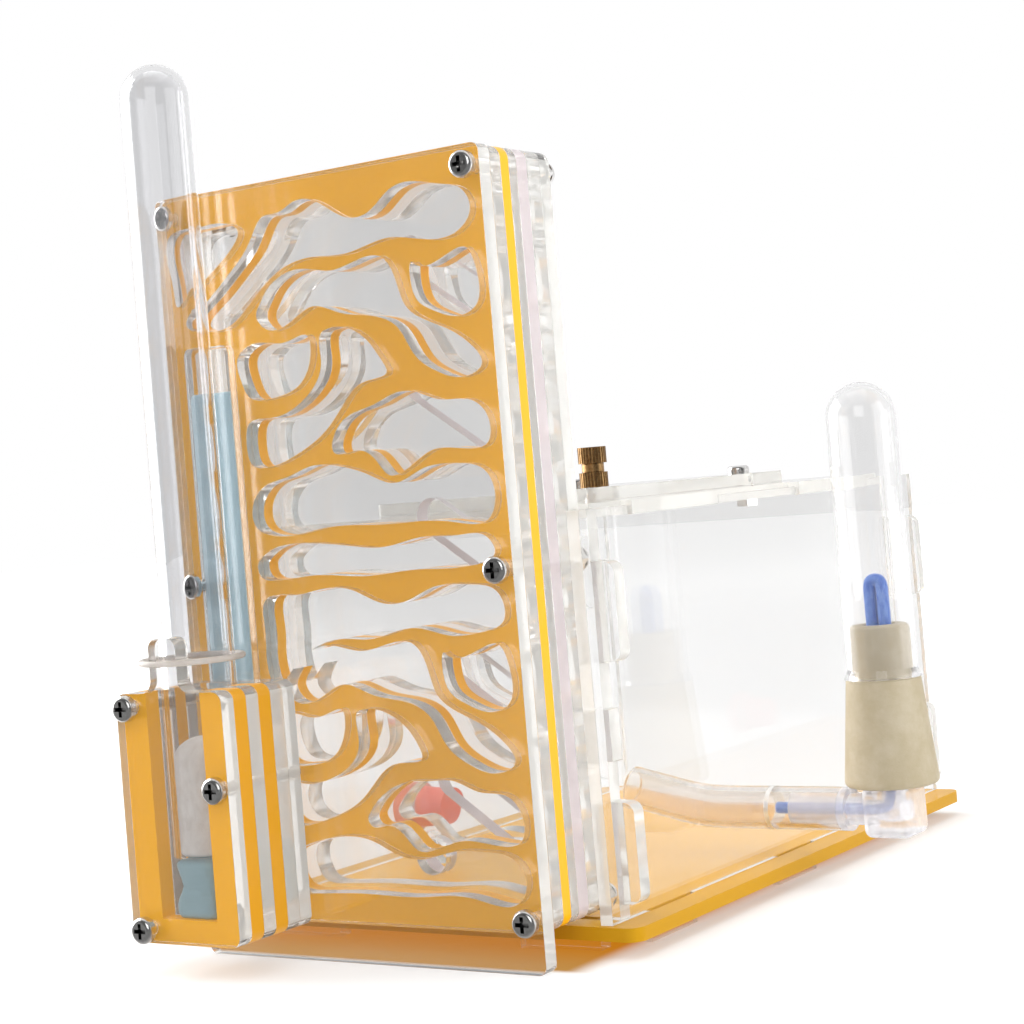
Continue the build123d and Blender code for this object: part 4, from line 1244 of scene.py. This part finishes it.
    def light(self) -> None:
        """Soft boxes round the object, and a white world."""
        for name, place, size, power in self.lamps:
            data = bpy.data.lights.new(name, "AREA")
            data.shape = "SQUARE"
            data.size = size
            data.energy = power
            lamp = bpy.data.objects.new(name, data)
            lamp.visible_glossy = name in self.glinting
            aim = Vector(self.lamp_aim) - Vector(place)
            lamp.matrix_world = Matrix.Translation(place) @ aim.to_track_quat("-Z", "Y").to_matrix().to_4x4()
            bpy.context.scene.collection.objects.link(lamp)
        bench = Bench(bpy.data.worlds.new("studio_world"), "ShaderNodeOutputWorld")
        toward = bench.toward(bench.add("TexCoord", output="Generated"), self.dark_way)
        bounced = bench.depth("Glossy Depth")
        shine = toward.step(*self.dark_turn) * -self.dark_side + self.bounced_white
        plain = 1.0 - bench.looked_through() * (1.0 - self.seen_through)
        seen = (1.0 - bounced) * plain + bounced * shine
        lit = bench.depth("Diffuse Depth")
        strength = seen * (1.0 - lit) + lit * self.surroundings
        background = bench.add("Background", None, {"Color": (*WHITE, 1.0), "Strength": strength})
        bpy.context.scene.world = bench.finish(background)

    def build(self) -> None:
        """Sets the whole studio up."""
        self.camera()
        self.floor()
        self.light()
        scene = bpy.context.scene
        scene.view_settings.view_transform = "Standard"
        scene.cycles.max_bounces = GLASS_BOUNCES
        scene.cycles.transmission_bounces = GLASS_BOUNCES
        scene.cycles.glossy_bounces = GLASS_BOUNCES
        scene.cycles.transparent_max_bounces = GLASS_LAYERS
        LOG.info("studio ready")


def finishes() -> Finishes:
    """Every material of the object.

    Returns:
        The materials by name.
    """
    tower_rim, module_rim = sides("front_cover"), sides("reservoir_cover")
    bright, brushed = (0.84, 0.83, 0.82), (0.66, 0.65, 0.64)
    kinds = {
        **{
            axis.name.lower(): ClearSheet(f"clear_acrylic_{axis.name.lower()}", axis, edge_milk=0.45)
            for axis in Axis
        },
        "cover": ClearSheet("clear_acrylic_cover", Axis.BACK, rim=tower_rim, rim_milk=0.35),
        "tower": ClearSheet("clear_acrylic_tower", Axis.BACK, rim=tower_rim),
        "module": ClearSheet("clear_acrylic_module", Axis.BACK, rim=module_rim, rim_milk=0.35),
        "milky": ClearSheet("milky_acrylic", Axis.BACK, face_roughness=0.03, edge_roughness=0.3,
                            edge_milk=0.5, milk=(0.86, 0.76, 0.78)),
        "amber": AmberSheet("amber_acrylic_back", Axis.BACK),
        # The module's frame: dark amber cut edges with a strong painted glow.
        "module_amber": AmberSheet("amber_acrylic_module", Axis.BACK, edge=(0.36, 0.16, 0.003),
                                   painted_edge_glow=(0.38, 0.18, 0.015)),
        "base_amber": AmberSheet("amber_acrylic_up", Axis.UP, (0.63, 0.33, 0.025), (0.60, 0.31, 0.01),
                                 gloss=0.08, glow=DARK, painted_edge_glow=DARK, face_roughness=0.25),
        "tube": ClearPlastic("clear_tube_plastic", (0.9, 0.9, 0.91)),
        "pale_tube": ClearPlastic("pale_tube_plastic", (0.985, 0.985, 0.985), milk=0.03),
        "elbow": ClearPlastic("moulded_elbow", (0.97, 0.95, 0.96), roughness=0.15, refraction=1.16, milk=0.3),
        "hose": ClearPlastic("clear_hose_plastic", (0.95, 0.91, 0.86), roughness=0.1, refraction=1.38, milk=0.05),
        "chrome": Metal("chrome", bright, brushed, 0.14),
        "module_chrome": Metal("chrome_module", bright, brushed, 0.14, shank_from=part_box("reservoir_cover")[0][1]),
        # The brass knob gets a brown painted shade in its hollows.
        "brass": Metal("brass", (0.46, 0.28, 0.12), (0.25, 0.14, 0.06), 0.3, hollow=(0.05, 0.025, 0.01),
                       hollow_shade_reach=0.6 * MM),
        "ring": Rubber("ring_rubber", (0.72, 0.66, 0.6), (0.8, 0.75, 0.7), roughness=0.35, see_through=0.5),
        "red": Rubber("red_rubber", (0.74, 0.13, 0.085), (0.8, 0.2, 0.15)),
        "cream": Rubber("cream_rubber", (0.43, 0.36, 0.235), (0.51, 0.445, 0.325)),
        "cotton": Cotton("cotton_wool"),
        "foam": Foam("blue_foam", (0.46, 0.64, 0.72)),
        # Painted shade: the sponge block's foam is the blue foam in darker colours.
        "shaded_foam": Foam("shaded_blue_foam", (0.29, 0.42, 0.47), (0.14, 0.24, 0.28)),
        "yarn": Cord("blue_yarn"),
    }
    return {name: kind.build() for name, kind in kinds.items()}


def main() -> None:
    """Builds the studio and dresses every sub-assembly."""
    logging.basicConfig(level=logging.INFO)
    Studio().build()
    finish = finishes()
    for assembly in (NestTower(), WateringModule(), ForagingBox(), Feeder()):
        assembly.build(finish)


if __name__ == "__main__":
    main()
